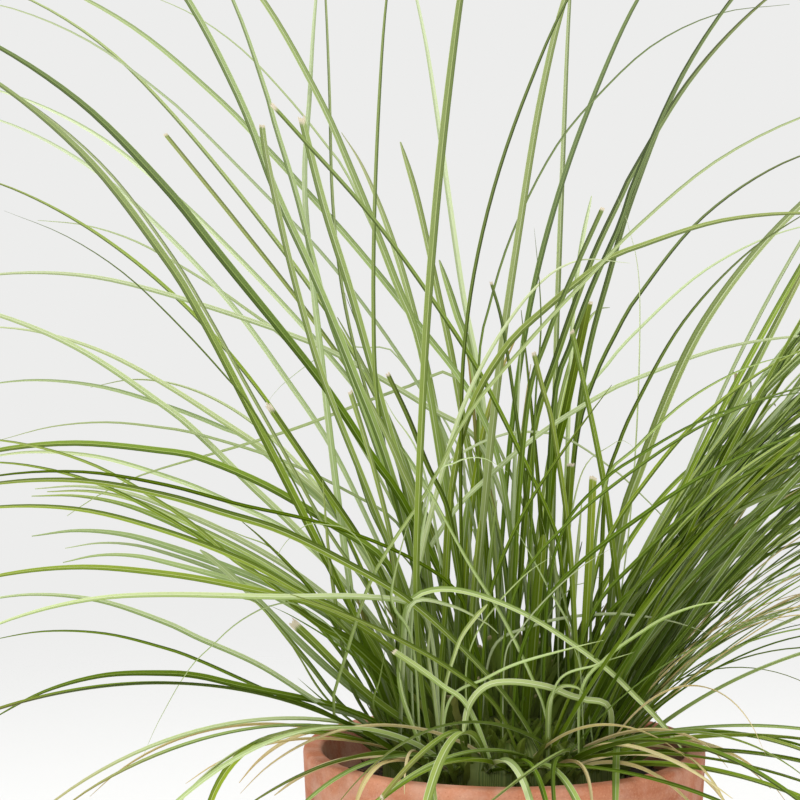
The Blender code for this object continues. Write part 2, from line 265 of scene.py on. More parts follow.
toneForm = {
    "hue": (0.018, 0.499),              # how far it spreads from leaf to leaf, and its middle
    "saturation": (0.16, 1.04),
    "fadeHeights": (0.13, 0.33),        # metres over the soil between which a leaf pales
    "fadeLift": 0.35,
}


# One leaf's own tone, and the way it pales with height
def makeToneGroup():
    inputs = {"Color": (0.2, 0.3, 0.1, 1), "Tone": 0.5, "Spread": 0.34, "Place": None, "Fade": 0.0}
    room, given, out = newGroup("leafTone", inputs, ("Color",))

    def varied(draw, spread, middle):
        return room.scaled(room.math("SUBTRACT", draw, 0.5), spread, middle)
    value = varied(given["Tone"], given["Spread"], 1.0)
    hue = varied(room.another(given["Tone"], 7.31), *toneForm["hue"])
    saturation = varied(room.another(given["Tone"], 13.7), *toneForm["saturation"])
    low, high = toneForm["fadeHeights"]
    height = room.split(given["Place"])[2]
    fade = room.times(room.ramp(height, soilLevel + low, soilLevel + high), given["Fade"])
    values = {
        "Hue": hue, "Saturation": room.math("SUBTRACT", saturation, fade), "Fac": 1.0,
        "Value": room.times(value, room.scaled(fade, toneForm["fadeLift"], 1.0)), "Color": given["Color"],
    }
    room.fill(out["Color"], room.add("ShaderNodeHueSaturation", values).outputs[0])
    return room.tree


# How near a place is to a cut end: ragged tan fibres, then a bright band. Lengths in metres
def makeCutGroup():
    room, given, out = newGroup("cutEnd", {"Place": None, "Distance": 1.0}, ("Fibres", "Band"))
    across, _, along = room.split(given["Place"])
    ragged = room.scaled(room.noise(room.join(room.times(across, 6.0), along), 1.4, 2.0), 0.0022, -0.0011)
    distance = room.math("ADD", given["Distance"], ragged)
    room.fill(out["Fibres"], room.ramp(distance, 0.0006, 0.0016, 1.0, 0.0))
    room.fill(out["Band"], room.ramp(distance, 0.003, 0.014, 1.0, 0.0))
    return room.tree


# How often the darker half, which is painted shade, changes sides as the tone goes up, and a tone's step from
# side to side
sideRate, sideStep = 5.3, 0.094


# The two halves of a folded blade: one is darkened with painted shade and carries a painted shadow line at
# its edge, the other has a pale edge that is partly its own margin and partly a painted highlight, and which
# is which changes from leaf to leaf
def makeShadeHalvesGroup():
    inputs = {"Place": None, "Tone": 0.5, "Depth": 0.5}
    room, given, out = newGroup("bladeShadeHalves", inputs, ("Dark", "Shadow Line", "Pale Edge Highlight"))
    turned = room.math("GREATER_THAN", room.another(given["Tone"], sideRate), 0.5)
    across = room.times(room.split(given["Place"])[0], room.scaled(turned, 2.0, -1.0))
    strength = room.scaled(room.another(given["Tone"], 11.9), 0.7, 0.5)
    dark = room.times(room.ramp(across, -0.02, 0.2), given["Depth"])
    room.fill(out["Dark"], room.times(dark, strength))
    room.fill(out["Shadow Line"], room.times(room.ramp(across, 0.74, 0.96), strength))
    room.fill(out["Pale Edge Highlight"], room.ramp(across, -0.98, -0.8, 1.0, 0.0))
    return room.tree


# Small irregular specks and blotches, used on leaves, clay and soil
def makeSpeckGroup():
    inputs = {"Place": None, "Size": 300.0, "Amount": 0.5}
    room, given, out = newGroup("specks", inputs, ("Specks", "Blotches"))
    values = {"Vector": given["Place"], "Scale": given["Size"], "Randomness": 1.0}
    cells = room.add("ShaderNodeTexVoronoi", values).outputs["Distance"]
    limit = room.times(given["Amount"], 0.34)
    room.fill(out["Specks"], room.ramp(cells, limit, room.math("ADD", limit, 0.08), 1.0, 0.0))
    room.fill(out["Blotches"], room.noise(given["Place"], room.times(given["Size"], 0.12), 5.0, 0.6))
    return room.tree


veinGroup = makeVeinGroup()
toneGroup = makeToneGroup()
cutGroup = makeCutGroup()
shadeHalvesGroup = makeShadeHalvesGroup()
speckGroup = makeSpeckGroup()

# Leaf finishes
# Each has the colours, on screen, of its upper face, under face, pale lines (partly a painted highlight),
# darker half (painted shade) and of the light that comes through, then its gloss, how far it pales with
# height, how much painted shade deepens its green near the crown, and how dark its painted shade half is
usualLeaf = {"share": 0.34, "rough": 0.42, "veins": 4.0}     # share: of the light that comes through
leafFinishes = {
    "mid": {
        "upper": (160, 181, 92), "under": (128, 152, 54), "lines": (230, 237, 204), "deep": (74, 96, 12),
        "through": (152, 178, 70), "gloss": 0.15, "fade": 0.3, "low": 0.6, "half": 0.6,
    },
    "fresh": {
        "upper": (184, 202, 128), "under": (152, 174, 86), "lines": (238, 244, 212), "deep": (96, 122, 22),
        "through": (166, 194, 80), "gloss": 0.2, "fade": 0.1, "low": 0.0, "half": 0.55,
    },
    "soft": {
        "upper": (170, 186, 128), "under": (152, 172, 106), "lines": (216, 226, 188),
        "deep": (114, 136, 70), "through": (168, 188, 116), "gloss": 0.14, "fade": 0.3, "low": 0.6,
        "half": 0.4, "rough": 0.5,
    },
    "light": {
        "upper": (197, 211, 156), "under": (172, 190, 120), "lines": (240, 245, 222),
        "deep": (112, 136, 56), "through": (190, 208, 130), "gloss": 0.26, "fade": 0.3, "low": 0.25,
        "half": 0.55, "rough": 0.44,
    },
    "olive": {
        "upper": (145, 165, 57), "under": (116, 138, 28), "lines": (214, 225, 160), "deep": (66, 88, 0),
        "through": (142, 167, 36), "gloss": 0.1, "fade": 0.3, "low": 0.55, "half": 0.65,
    },
    "sage": {
        "upper": (150, 165, 98), "under": (128, 144, 70), "lines": (208, 216, 178), "deep": (92, 108, 40),
        "through": (148, 166, 84), "gloss": 0.12, "fade": 0.1, "low": 0.35, "half": 0.45, "rough": 0.46,
    },
    "dark": {
        "upper": (100, 125, 20), "under": (78, 102, 4), "lines": (164, 184, 104), "deep": (40, 58, 0),
        "through": (108, 137, 12), "gloss": 0.06, "fade": 0.5, "low": 0.4, "half": 0.7, "share": 0.32,
        "rough": 0.4,
    },
    "moss": {
        "upper": (124, 148, 32), "under": (96, 120, 12), "lines": (194, 209, 128), "deep": (54, 74, 0),
        "through": (124, 152, 20), "gloss": 0.07, "fade": 0.45, "low": 0.45, "half": 0.75, "share": 0.32,
    },
    "deep": {
        "upper": (84, 110, 2), "under": (66, 90, 0), "lines": (138, 162, 52), "deep": (38, 56, 0),
        "through": (98, 128, 0), "gloss": 0.03, "fade": 0.0, "low": 0.2, "half": 0.6, "share": 0.3,
    },
    "two_tone": {
        "upper": (134, 158, 62), "under": (74, 99, 12), "lines": (212, 222, 174), "deep": (56, 80, 2),
        "through": (120, 150, 30), "gloss": 0.12, "fade": 0.2, "low": 0.2, "half": 0.75, "share": 0.28,
    },
    "straw": {
        "upper": (214, 200, 150), "under": (198, 184, 130), "lines": (230, 222, 184),
        "deep": (150, 132, 78), "through": (222, 206, 130), "gloss": 0.2, "fade": 0.0, "low": 0.0,
        "half": 0.4, "share": 0.24, "rough": 0.62, "veins": 5.0,
    },
}
# What the leaves share: how much of each marking shows, and its colour. The rib and pale edge are partly
# a painted highlight, the shadow line is painted shade, and low is painted shade near the crown
leafMarks = {
    "streaks": 0.4, "veins": 0.11, "rib": 0.6, "paleEdgeHighlight": 0.72, "shadowLine": 0.5,
    # low: painted shade, a deep green laid over the leaves near the crown, where the clump shades them
    "baseShadeReach": (0.07, 0.19), "low": colour(82, 110, 2),      # metres from the crown's middle
    "rootEnd": 0.07, "rootShare": 0.5, "root": colour(112, 128, 26),
    "speckWidth": 0.0024, "speckSize": 260.0, "speckAmount": 0.12, "speckShare": 0.4,
    "speck": colour(134, 104, 52), "dryFrom": 0.62, "dry": colour(186, 156, 104),
    "bandShare": 0.18, "band": colour(150, 172, 74), "fibres": colour(240, 226, 204),
    "throughShare": 0.6,
}


def makeLeafMaterial(name, form):
    material, room, shader = newMaterial(name)
    form = {**usualLeaf, **form}
    upper, under, lines, deep, through = (
        colour(*form[part]) for part in ("upper", "under", "lines", "deep", "through"))
    marks = leafMarks
    place, world = room.read("bladePlace"), room.ownPlace()
    _, along, metres = room.split(place)
    tone, dry, toCut = room.split(room.read("bladeLook"))
    veins = room.use(veinGroup, {"Place": place, "Veins": form["veins"]})
    halves = room.use(shadeHalvesGroup, {"Place": place, "Tone": tone, "Depth": form["half"]})
    cut = room.use(cutGroup, {"Place": place, "Distance": toCut})
    flat = room.stretch(place, (marks["speckWidth"], 0, 1))
    specks = room.use(speckGroup, {"Place": flat, "Size": marks["speckSize"], "Amount": marks["speckAmount"]})
    # painted shade: how near the crown a place is, where the leaves take a deep shaded green
    toCrown = {0: world, 1: (0, 0, soilLevel)}
    reach = room.add("ShaderNodeVectorMath", toCrown, operation="DISTANCE").outputs["Value"]
    low = room.ramp(reach, *marks["baseShadeReach"], form["low"], 0.0)

    # the under face, then the darker half: painted shade in the finish's deep colour
    base = room.layer(upper, (room.read("bladeUnder", "Fac"), under), (halves["Dark"], deep))
    values = {"Color": base, "Tone": tone, "Place": world, "Fade": form["fade"]}
    base = room.use(toneGroup, values)["Color"]
    base = room.mix(room.ramp(veins["Streaks"], 0.3, 0.75, 0.0, marks["streaks"]), base, lines, "SOFT_LIGHT")
    base = room.layer(
        base,
        (room.times(veins["Veins"], marks["veins"]), lines),
        # the rib and the pale edge: the blade's own paler lines, made strong enough to be a painted highlight
        (room.times(veins["Rib"], marks["rib"]), lines),
        (room.times(halves["Pale Edge Highlight"], marks["paleEdgeHighlight"]), lines),
        # a painted shadow line at the edge of the shaded half
        (room.times(halves["Shadow Line"], marks["shadowLine"]), deep),
        # painted shade near the crown
        (low, marks["low"]),
        (room.ramp(metres, 0.0, marks["rootEnd"], marks["rootShare"], 0.0), marks["root"]),
        (room.times(specks["Specks"], marks["speckShare"]), marks["speck"]),
        (room.times(dry, room.ramp(along, marks["dryFrom"], 1.0)), marks["dry"]),
        (room.times(cut["Band"], marks["bandShare"]), marks["band"]),
        (cut["Fibres"], marks["fibres"]),
    )
    rough = room.scaled(veins["Streaks"], 0.22, form["rough"] - 0.08)
    height = room.scaled(veins["Veins"], 0.7, room.times(veins["Streaks"], 0.5))
    room.dress(shader, base, room.scaled(cut["Fibres"], 0.45, rough), form["gloss"], (0.2, 0.0002, height))

    # near the crown the light that comes through takes the painted shade's deep green too
    through = room.mix(low, room.mix(marks["throughShare"], base, through), marks["low"])
    glow = room.add("ShaderNodeBsdfTranslucent", {"Color": through})
    mixed = room.add("ShaderNodeMixShader", {0: form["share"], 1: shader.outputs[0], 2: glow.outputs[0]})
    room.fill(material.node_tree.nodes["Material Output"].inputs["Surface"], mixed.outputs[0])
    return material


leafMaterials = {name: makeLeafMaterial("leaf_" + name, form) for name, form in leafFinishes.items()}
print("leaf finishes made:", len(leafMaterials))

# Blades
bladeForm = {
    "thickness": 0.00055,
    "foldRoot": math.radians(62),      # the two halves stand close together at the root
    "foldMiddle": math.radians(26),
    "foldTip": math.radians(15),
    "foldLength": 0.10,                # metres over which the root opens out
    "foldFrom": 0.55,                  # share of the length where the tip starts to open
    "rootWiden": 0.35,                 # the sheath at the root is this much wider
    "sheathLength": 0.05,
    "rootWidth": 0.75,                 # share of the full width
    "endNarrow": 0.22,                 # how much a cut, torn or blunt leaf narrows to its end
    "bluntLength": 0.1,                # share of the length that rounds off
    "tipNarrow": {"long": 0.86, "fine": 0.93},
    "tipFrom": 0.5,
    "wobble": 0.09,                    # how far it sways aside, as a share of its width
    "roll": 0.10,
    "uneven": 0.035,                   # how much the width varies
    "ragged": 0.0011,                  # metres that a broken end's fibres differ by
    "brokenEnds": {"cut": (1, 1), "torn": (2.2, 0.4)},     # how ragged; how far off it counts as being
    "fullSkin": 0.0011,                # a blade narrower than this beside its rib is thinner
    "faceTurn": math.radians(62),      # how far a leaf that the view shows turns its face to it
    "sharp": math.radians(50),
}


class BladeMesh:
    # gathers the points and faces of any number of blades

    def __init__(self):
        self.points, self.faces, self.place, self.look, self.under = [], [], [], [], []
        self.total = 0

    def add(self, points, faces, place, look, under):
        self.points.append(points)
        self.faces.append(faces + self.total)
        self.place.append(place)
        self.look.append(look)
        self.under.append(under)
        self.total += len(points)


def smoothRoute(points, divisions=12):
    # an even, smooth curve through the given points, as in the solids
    knots = np.array([tuple(point) for point in points])
    knots = np.vstack([2 * knots[0] - knots[1], knots, 2 * knots[-1] - knots[-2]])
    t = (np.arange(divisions) / divisions)[:, None]
    spans = []
    for before, start, end, after in zip(knots, knots[1:], knots[2:], knots[3:]):
        spans.append(0.5 * (
            2 * start + (end - before) * t
            + (2 * before - 5 * start + 4 * end - after) * t ** 2
            + (3 * start - before - 3 * end + after) * t ** 3
        ))
    return np.vstack(spans + [knots[-2:-1]])


def evenly(route, count):
    # the route at even steps along it, and its length
    steps = np.linalg.norm(np.diff(route, axis=0), axis=1)
    reached = np.concatenate([[0], np.cumsum(steps)])
    wanted = np.linspace(0, reached[-1], count + 1)
    even = np.stack([np.interp(wanted, reached, route[:, axis]) for axis in range(3)], axis=1)
    return even, reached[-1]


def unit(vectors):
    return vectors / np.maximum(np.linalg.norm(vectors, axis=-1, keepdims=True), 1e-12)


def widthAlong(share, tip):
    rising = np.minimum(1, bladeForm["rootWidth"] + share)
    if tip in bladeForm["tipNarrow"]:
        beyond = np.maximum(0, share - bladeForm["tipFrom"]) / (1 - bladeForm["tipFrom"])
        return rising * (1 - bladeForm["tipNarrow"][tip] * beyond ** 1.8)
    width = rising * (1 - bladeForm["endNarrow"] * share)
    if tip == "blunt":
        width = width * np.sqrt(1 - np.clip(1 - (1 - share) / bladeForm["bluntLength"], 0, 0.97) ** 2)
    return width


def crossSection(columns):
    # across a blade: places from -1 to 1, how far they bend up from the rib, and half its thickness
    a = np.linspace(-1, 1, columns)
    soft = 0.012
    bend = (np.sqrt(a ** 2 + soft) - math.sqrt(soft)) / (math.sqrt(1 + soft) - math.sqrt(soft))
    bulge = 0.35 + 0.65 * np.sqrt(np.maximum(0, 1 - a ** 2)) + 0.7 * np.exp(-(a / 0.16) ** 2)
    thick = bladeForm["thickness"] / 2 * bulge
    thick[0] = thick[-1] = 0
    return a, bend, thick


def wallFaces(rings, sides):
    # the four-sided faces between one ring of points and the next
    first = np.arange(rings)[:, None] * sides
    here = np.arange(sides)[None, :]
    after = (here + 1) % sides
    walls = np.stack([first + here, first + after, first + sides + after, first + sides + here], axis=-1)
    return walls.reshape(-1, 4)


def addBlade(mesh, points, width, tip, turn, tone, dry, seed, segments, columns, twist, sheath=True, hand=0):
    # hand: 1 for a leaf that leans left and shows its face to the front, -1 for one that leans right
    form = bladeForm
    draw = random.Random(seed)
    route, length = evenly(smoothRoute(points), segments)
    share = np.linspace(0, 1, segments + 1)
    heading = route[-1] - route[0]
    heading[2] = 0
    heading = unit(heading + 1e-9)
    side = np.array([0, -hand, 0]) if hand else np.cross([0, 0, 1], heading)
    way = unit(np.gradient(route, axis=0))
    upper = unit(np.cross(way, side))
    roll = form["roll"] * np.sin(share * draw.uniform(5, 9) + draw.uniform(0, 6))
    spin = turn + hand * form["faceTurn"] + twist * (share - 0.5) + roll
    face = upper * np.cos(spin)[:, None] + np.cross(upper, way) * np.sin(spin)[:, None]
    across = np.cross(way, face)

    half = width / 2 * widthAlong(share, tip)
    metres = share * length
    if sheath:
        half *= 1 + form["rootWiden"] * np.exp(-(metres / form["sheathLength"]) ** 2)
    half *= 1 + form["uneven"] * np.sin(share * draw.uniform(9, 17) + draw.uniform(0, 6))
    opened = np.clip(metres / form["foldLength"], 0, 1)
    fold = form["foldRoot"] + (form["foldMiddle"] - form["foldRoot"]) * opened
    opened = np.clip((share - form["foldFrom"]) / (1 - form["foldFrom"]), 0, 1)
    fold = fold + (form["foldTip"] - fold) * opened
    wave = form["wobble"] * width * np.sin(share * draw.uniform(6, 12) + draw.uniform(0, 6)) * share
    route = route + across * wave[:, None]

    a, bend, thick = crossSection(columns)
    sheet = route[:, None, :] + across[:, None, :] * (half * np.cos(fold))[:, None, None] * a[None, :, None]
    sheet = sheet + face[:, None, :] * (half * np.sin(fold))[:, None, None] * bend[None, :, None]
    full = np.minimum(1, half / form["fullSkin"])
    skin = face[:, None, :] * thick[None, :, None] * full[:, None, None]
    sheetTop, sheetUnder = sheet + skin, (sheet - skin)[:, -2:0:-1]
    rough, nearness = form["brokenEnds"].get(tip, (0, 0))
    if rough:
        for index in range(columns):
            slip = form["ragged"] * (draw.random() * rough - 0.25 + 0.4 * (index % 2))
            sheetTop[-1, index] += way[-1] * slip
            if 0 < index < columns - 1:
                sheetUnder[-1, columns - 2 - index] += way[-1] * slip * draw.uniform(0.6, 1.3)
    ring = np.concatenate([sheetTop, sheetUnder], axis=1)
    sides = ring.shape[1]
    below = [0, *range(sides - 1, columns - 1, -1), columns - 1]      # the points under the upper ones
    cap = np.array([(i, i + 1, below[i + 1], below[i]) for i in range(columns - 1)])
    faces = np.vstack([wallFaces(segments, sides), cap[:, ::-1], cap + segments * sides])

    def spread(*values):
        # one value for each point from values that change across, along or not at all
        return np.stack([np.broadcast_to(value, (segments + 1, sides)) for value in values], axis=-1)
    place = spread(np.concatenate([a, a[-2:0:-1]]), share[:, None], metres[:, None] + draw.random() * 3)
    toEnd = (length - metres) * nearness if rough else np.ones(segments + 1)
    look = spread(tone, dry, toEnd[:, None])
    under = np.concatenate([np.zeros(columns), np.ones(columns - 2)])
    under[0] = under[columns - 1] = 0.5
    ring, place, look = (values.reshape(-1, 3) for values in (ring, place, look))
    mesh.add(ring, faces, place, look, np.tile(under, segments + 1))


def tidyFaces(faces):
    # a cap's end faces repeat a corner: those become triangles
    return [list(dict.fromkeys(face)) for face in faces.tolist()]


def makePiece(name, mesh, material, nodes=()):
    data = bpy.data.meshes.new(name)
    data.from_pydata(np.vstack(mesh.points).tolist(), [], tidyFaces(np.vstack(mesh.faces)))
    for label, kind, field, values in (
        ("bladePlace", "FLOAT_VECTOR", "vector", np.vstack(mesh.place)),
        ("bladeLook", "FLOAT_VECTOR", "vector", np.vstack(mesh.look)),
        ("bladeUnder", "FLOAT", "value", np.concatenate(mesh.under)),
    ):
        layer = data.attributes.new(label, kind, "POINT")
        layer.data.foreach_set(field, values.ravel().astype(np.float32))
    data.shade_smooth()
    data.set_sharp_from_angle(angle=bladeForm["sharp"])
    data.materials.append(material)
    piece = addItem(name, data)
    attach(piece, "root")
    if nodes:
        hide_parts(*nodes)


# The crown's top, on which every leaf stands
crownForm = {
    "radius": (crownHigh.x - crownLow.x) / 2,
    "rise": crownHigh.z - crownLow.z,
    "skirt": 0.014,         # how high its side is
    "lift": 0.0015,
}


def onCrown(x, y):
    share = min(1, math.hypot(x, y) / crownForm["radius"])
    height = crownForm["skirt"] + (crownForm["rise"] - crownForm["skirt"]) * (1 - share ** 2)
    return Vector((x, y, crownLow.z + height + crownForm["lift"]))


def around(angle, reach=1.0):
    return reach * math.cos(angle), reach * math.sin(angle)


# How the leaves of the view stand one behind the other, in metres
layerForm = {
    "widthSeen": 0.00062,       # a blade's width for one pixel of it that shows
    "step": 0.0030,
    "start": 0.060, "rate": 7.5,        # the layers fan out this far from the root and this fast
    "rootDown": 735,            # where the crown's top shows
    "nearRoot": 0.08,           # how far a leaf takes to reach its layer
    "rim": 0.004,               # roots stay this far inside the crown's edge
}


def fanned(layer, across, down):
    flat = math.hypot(across - viewValues["clumpAcross"], down - layerForm["rootDown"])
    reach = viewValues["scale"] * flat
    return layer * (1 + layerForm["rate"] * max(0, reach - layerForm["start"]))


def leanOn(start, heading, lean, lastLean, length, steps):
    points = [start]
    for step in range(steps):
        angle = lean + (lastLean - lean) * (step + 0.5) / steps
        points.append(points[-1] + (heading * math.sin(angle) + up * math.cos(angle)) * length / steps)
    return points


def goOn(points, onward=0, turnDown=0):
    # carries a leaf on past the last point that shows, leaning over further
    if not onward:
        return points
    way = points[-1] - points[-2]
    flat = Vector((way.x, way.y, 0))
    lean = math.atan2(flat.length, way.z)
    lastLean = lean + math.radians(turnDown)
    return points + leanOn(points[-1], flat.normalized(), lean, lastLean, onward / 1000, 3)[1:]


def handOf(points):
    return 1 if points[-1].x < points[0].x else -1


def pairs(route):
    # the places "across,down" of a route as numbers
    return [[float(value) for value in place.split(",")] for place in route.split()]


# The main leaves, one for each leaf of the solids, from the front layer to the back one: name,
# finish, width and root across the crown in mm, how it ends, route as seen, and for a leaf that goes
# on, by what length in mm and how far it turns down in degrees
frontLeaves = (
    ("front_arch_1", "two_tone", 4.0, 19, "fine",
     "512,707 460,647 405,598 340,560 280,531 225,514 164,496", 120, 34),
    ("front_arch_2", "fresh", 3.6, -36, "blunt",
     "402,690 404,640 412,600 455,590 525,614 600,664 636,698", 34, 10),
    ("upright_1", "olive", 4.6, -33, "fine", "427,707 418,610 419,510 426,350 436,220 449,94", 170, 26),
    ("left_low_2", "light", 3.3, -33, "fine", "432,650 415,607 360,597 280,597 164,595", 110, 30),
    ("left_low_3", "olive", 3.6, -29, "fine", "428,690 380,640 320,607 240,587 164,574", 130, 34),
    ("stub_2", "olive", 5.4, -30, "torn", "400,720 368,695 330,660 293,623"),
    ("stub_3", "olive", 5.2, 38, "cut", "586,640 589,560 594,478"),
    ("left_low_1", "dark", 3.6, -36, "fine", "352,712 310,700 240,686 200,677 164,674", 90, 40),
    ("left_wide", "dark", 6.6, -41, "fine", "410,707 390,680 350,642 320,626 285,602"),
    ("right_arch_1", "light", 2.9, -44, "fine",
     "409,670 418,575 438,490 463,408 498,338 540,283 580,260 630,263"),
    ("right_arch_2", "olive", 3.9, -30, "fine",
     "445,640 449,515 468,418 505,350 550,306 605,262 636,248", 130, 40),
    ("left_1", "moss", 4.6, -43, "fine", "392,690 342,592 300,510 240,393 200,317 164,258", 190, 40),
    ("left_2", "moss", 3.0, 31, "torn", "566,640 560,560 549,516 500,412 460,341 380,228 300,137 273,107"),
    ("right_1", "olive", 4.2, 54, "cut", "622,690 620,620 608,512 595,440 571,332"),
    ("left_3", "dark", 5.0, -8, "fine", "470,640 405,507 370,455 318,378 220,256 164,187", 170, 36),
    ("left_4", "mid", 4.8, -34, "fine", "428,640 392,480 352,370 315,280 275,193 236,94", 190, 44),
    ("right_2", "mid", 5.6, 46, "fine", "606,690 610,620 620,540 636,480", 260, 52),
    ("upright_2", "sage", 4.6, -17, "fine", "472,700 476,610 488,475 501,360 517,250 543,94", 170, 28),
    ("right_arch_3", "light", 2.9, -42, "fine",
     "404,650 413,585 450,517 490,476 540,434 600,396 636,379", 140, 36),
    ("stub_1", "dark", 5.2, 27, "cut", "563,640 567,540 570,464"),
    ("stub_4", "deep", 5.4, 12, "cut", "540,600 553,470 565,415 583,335 590,302"),
    ("left_5", "mid", 5.2, -25, "torn", "440,690 410,510 388,430 352,297 325,208 302,119"),
    ("left_6", "moss", 4.4, -54, "torn", "398,655 385,585 355,532 315,474 268,407"),
    ("upright_3", "mid", 4.6, -13, "fine", "458,580 423,362 394,280 350,170 316,94", 180, 36),
    ("left_7", "light", 4.0, -51, "fine",
     "388,690 362,660 346,560 335,480 322,370 304,200 309,94", 120, 18),
    ("left_8", "mid", 3.9, 5, "fine", "515,600 500,470 470,395 420,328 350,241 268,150 213,94", 170, 36),
    ("left_9", "light", 4.2, -36, "fine", "420,685 380,628 310,544 245,481 200,437 164,407", 180, 38),
    ("right_3", "dark", 4.0, 7, "fine", "518,620 533,440 557,357 590,265 620,200 636,168", 170, 34),
    ("right_4", "dark", 3.4, 25, "fine", "565,560 584,380 611,270 636,188", 200, 40),
    ("left_10", "light", 3.5, 14, "fine",
     "528,640 520,560 480,445 430,409 370,373 300,339 164,294", 150, 36),
    ("right_5", "dark", 3.4, -3, "fine", "498,620 510,450 530,310 558,198 595,94", 180, 34),
    ("left_11", "olive", 3.3, -16, "cut", "470,680 435,540 375,412 312,319 240,227 165,135"),
    ("left_12", "light", 3.5, -7, "fine", "485,650 440,515 370,408 300,324 222,242 164,187", 160, 36),
    ("left_13", "light", 3.3, -24, "fine", "450,690 395,580 335,455 285,378 230,303 164,232", 170, 36),
    ("upright_4", "mid", 3.6, 20, "fine", "550,640 555,420 558,300 566,94", 160, 22),
    ("upright_5", "light", 3.6, 4, "fine", "505,640 482,400 461,285 434,94", 150, 28),
)

# The leaves that spread to the other sides: name, finish, width in mm, bearing, root in mm,
# lean at the root and tip in degrees, length in mm
spreadingLeaves = (
    ("right_6", "mid", 4.6, 4, (56, -22), 22, 104, 400),
    ("right_7", "dark", 5.0, -16, (49, -35), 25, 82, 450),
    ("right_8", "olive", 4.4, 22, (50, 26), 16, 90, 450),
    ("right_9", "light", 3.6, -6, (58, 2), 40, 122, 360),
    ("right_10", "mid", 4.8, 32, (38, 41), 20, 84, 470),
    ("right_11", "light", 4.0, 12, (40, 15), 19, 66, 500),
    ("back_1", "mid", 4.6, 78, (11, 57), 22, 96, 420),
    ("back_2", "mid", 4.8, 104, (-14, 55), 16, 74, 460),
    ("back_3", "olive", 4.2, 56, (27, 50), 30, 112, 380),
    ("back_4", "light", 3.8, 128, (-35, 45), 26, 104, 400),
    ("back_5", "mid", 4.4, 92, (-2, 58), 42, 120, 320),
    ("back_6", "olive", 4.4, 146, (-45, 37), 16, 80, 460),
    ("front_1", "mid", 4.6, 262, (-9, -58), 58, 118, 330),
    ("front_2", "dark", 4.6, 292, (24, -54), 62, 112, 310),
    ("front_3", "light", 3.8, 236, (-27, -52), 56, 126, 290),
    ("front_4", "olive", 4.4, 316, (41, -44), 74, 126, 250),
    ("front_5", "mid", 4.2, 278, (8, -59), 66, 130, 240),
    ("front_6", "light", 4.0, 334, (53, -32), 44, 116, 340),
    ("front_7", "dark", 4.4, 222, (-44, -41), 54, 108, 320),
)

# The leaves whose painted shade half is the further one as they lean left, or the nearer as they lean right
shadeHalfOver = {
    "front_arch_1", "left_wide", "left_6", "left_7", "left_8", "left_11", "left_12", "left_13", "right_5",
    "right_arch_1", "right_arch_2", "right_arch_3", "upright_1", "upright_2", "upright_3", "upright_4",
}


# Where each kind of leaf starts to number its seeds
firstSeeds = {"front": 500, "spreading": 900, "seen": 2000, "sheath": 30000}


def toneOf(number):
    # an even spread of tones from one leaf to the next, by steps of the golden ratio
    return (0.137 + number * 0.618034) % 1


def sidedTone(tone, over):
    # moves a tone on until the painted shade of the darker half falls on the wanted side
    return tone if ((tone * sideRate) % 1 > 0.5) == over else tone + sideStep


def makeMainLeaf(name, finish, width, points, tip, tone, dry, seed, twist, hand=0):
    mesh = BladeMesh()
    addBlade(mesh, points, width / 1000, tip, 0, tone, dry, seed, segments=52, columns=9,
             twist=math.radians(twist), hand=hand)
    makePiece("blade_" + name, mesh, leafMaterials[finish], ["leaf_" + name])


def makeMainLeaves():
    middle = (len(frontLeaves) - 1) / 2
    for index, (name, finish, width, root, tip, route, *onward) in enumerate(frontLeaves):
        layer = (index - middle) * layerForm["step"]
        points = [onCrown(root / 1000, layer)]
        points += [seenPoint(u, v, fanned(layer, u, v)) for u, v in pairs(route)]
        points = goOn(points, *onward)
        draw = random.Random(firstSeeds["front"] + index)
        tone = sidedTone(toneOf(index), name in shadeHalfOver)
        dry = 0.1 * draw.random() ** 2
        twist = draw.uniform(-26, 26)
        makeMainLeaf(name, finish, width, points, tip, tone, dry, index, twist, handOf(points))
    for index, (name, finish, width, bearing, root, lean, tipLean, length) in enumerate(spreadingLeaves):
        heading = Vector((*around(math.radians(bearing)), 0))
        start = onCrown(root[0] / 1000, root[1] / 1000)
        points = leanOn(start, heading, math.radians(lean), math.radians(tipLean), length / 1000, 8)
        draw = random.Random(firstSeeds["spreading"] + index)
        dry = 0.5 * draw.random() ** 2
        tone = toneOf(index + 40)
        makeMainLeaf(name, finish, width, points, "long", tone, dry, index + 60, draw.uniform(-40, 40))


makeMainLeaves()
print("main leaves made:", len(frontLeaves) + len(spreadingLeaves))

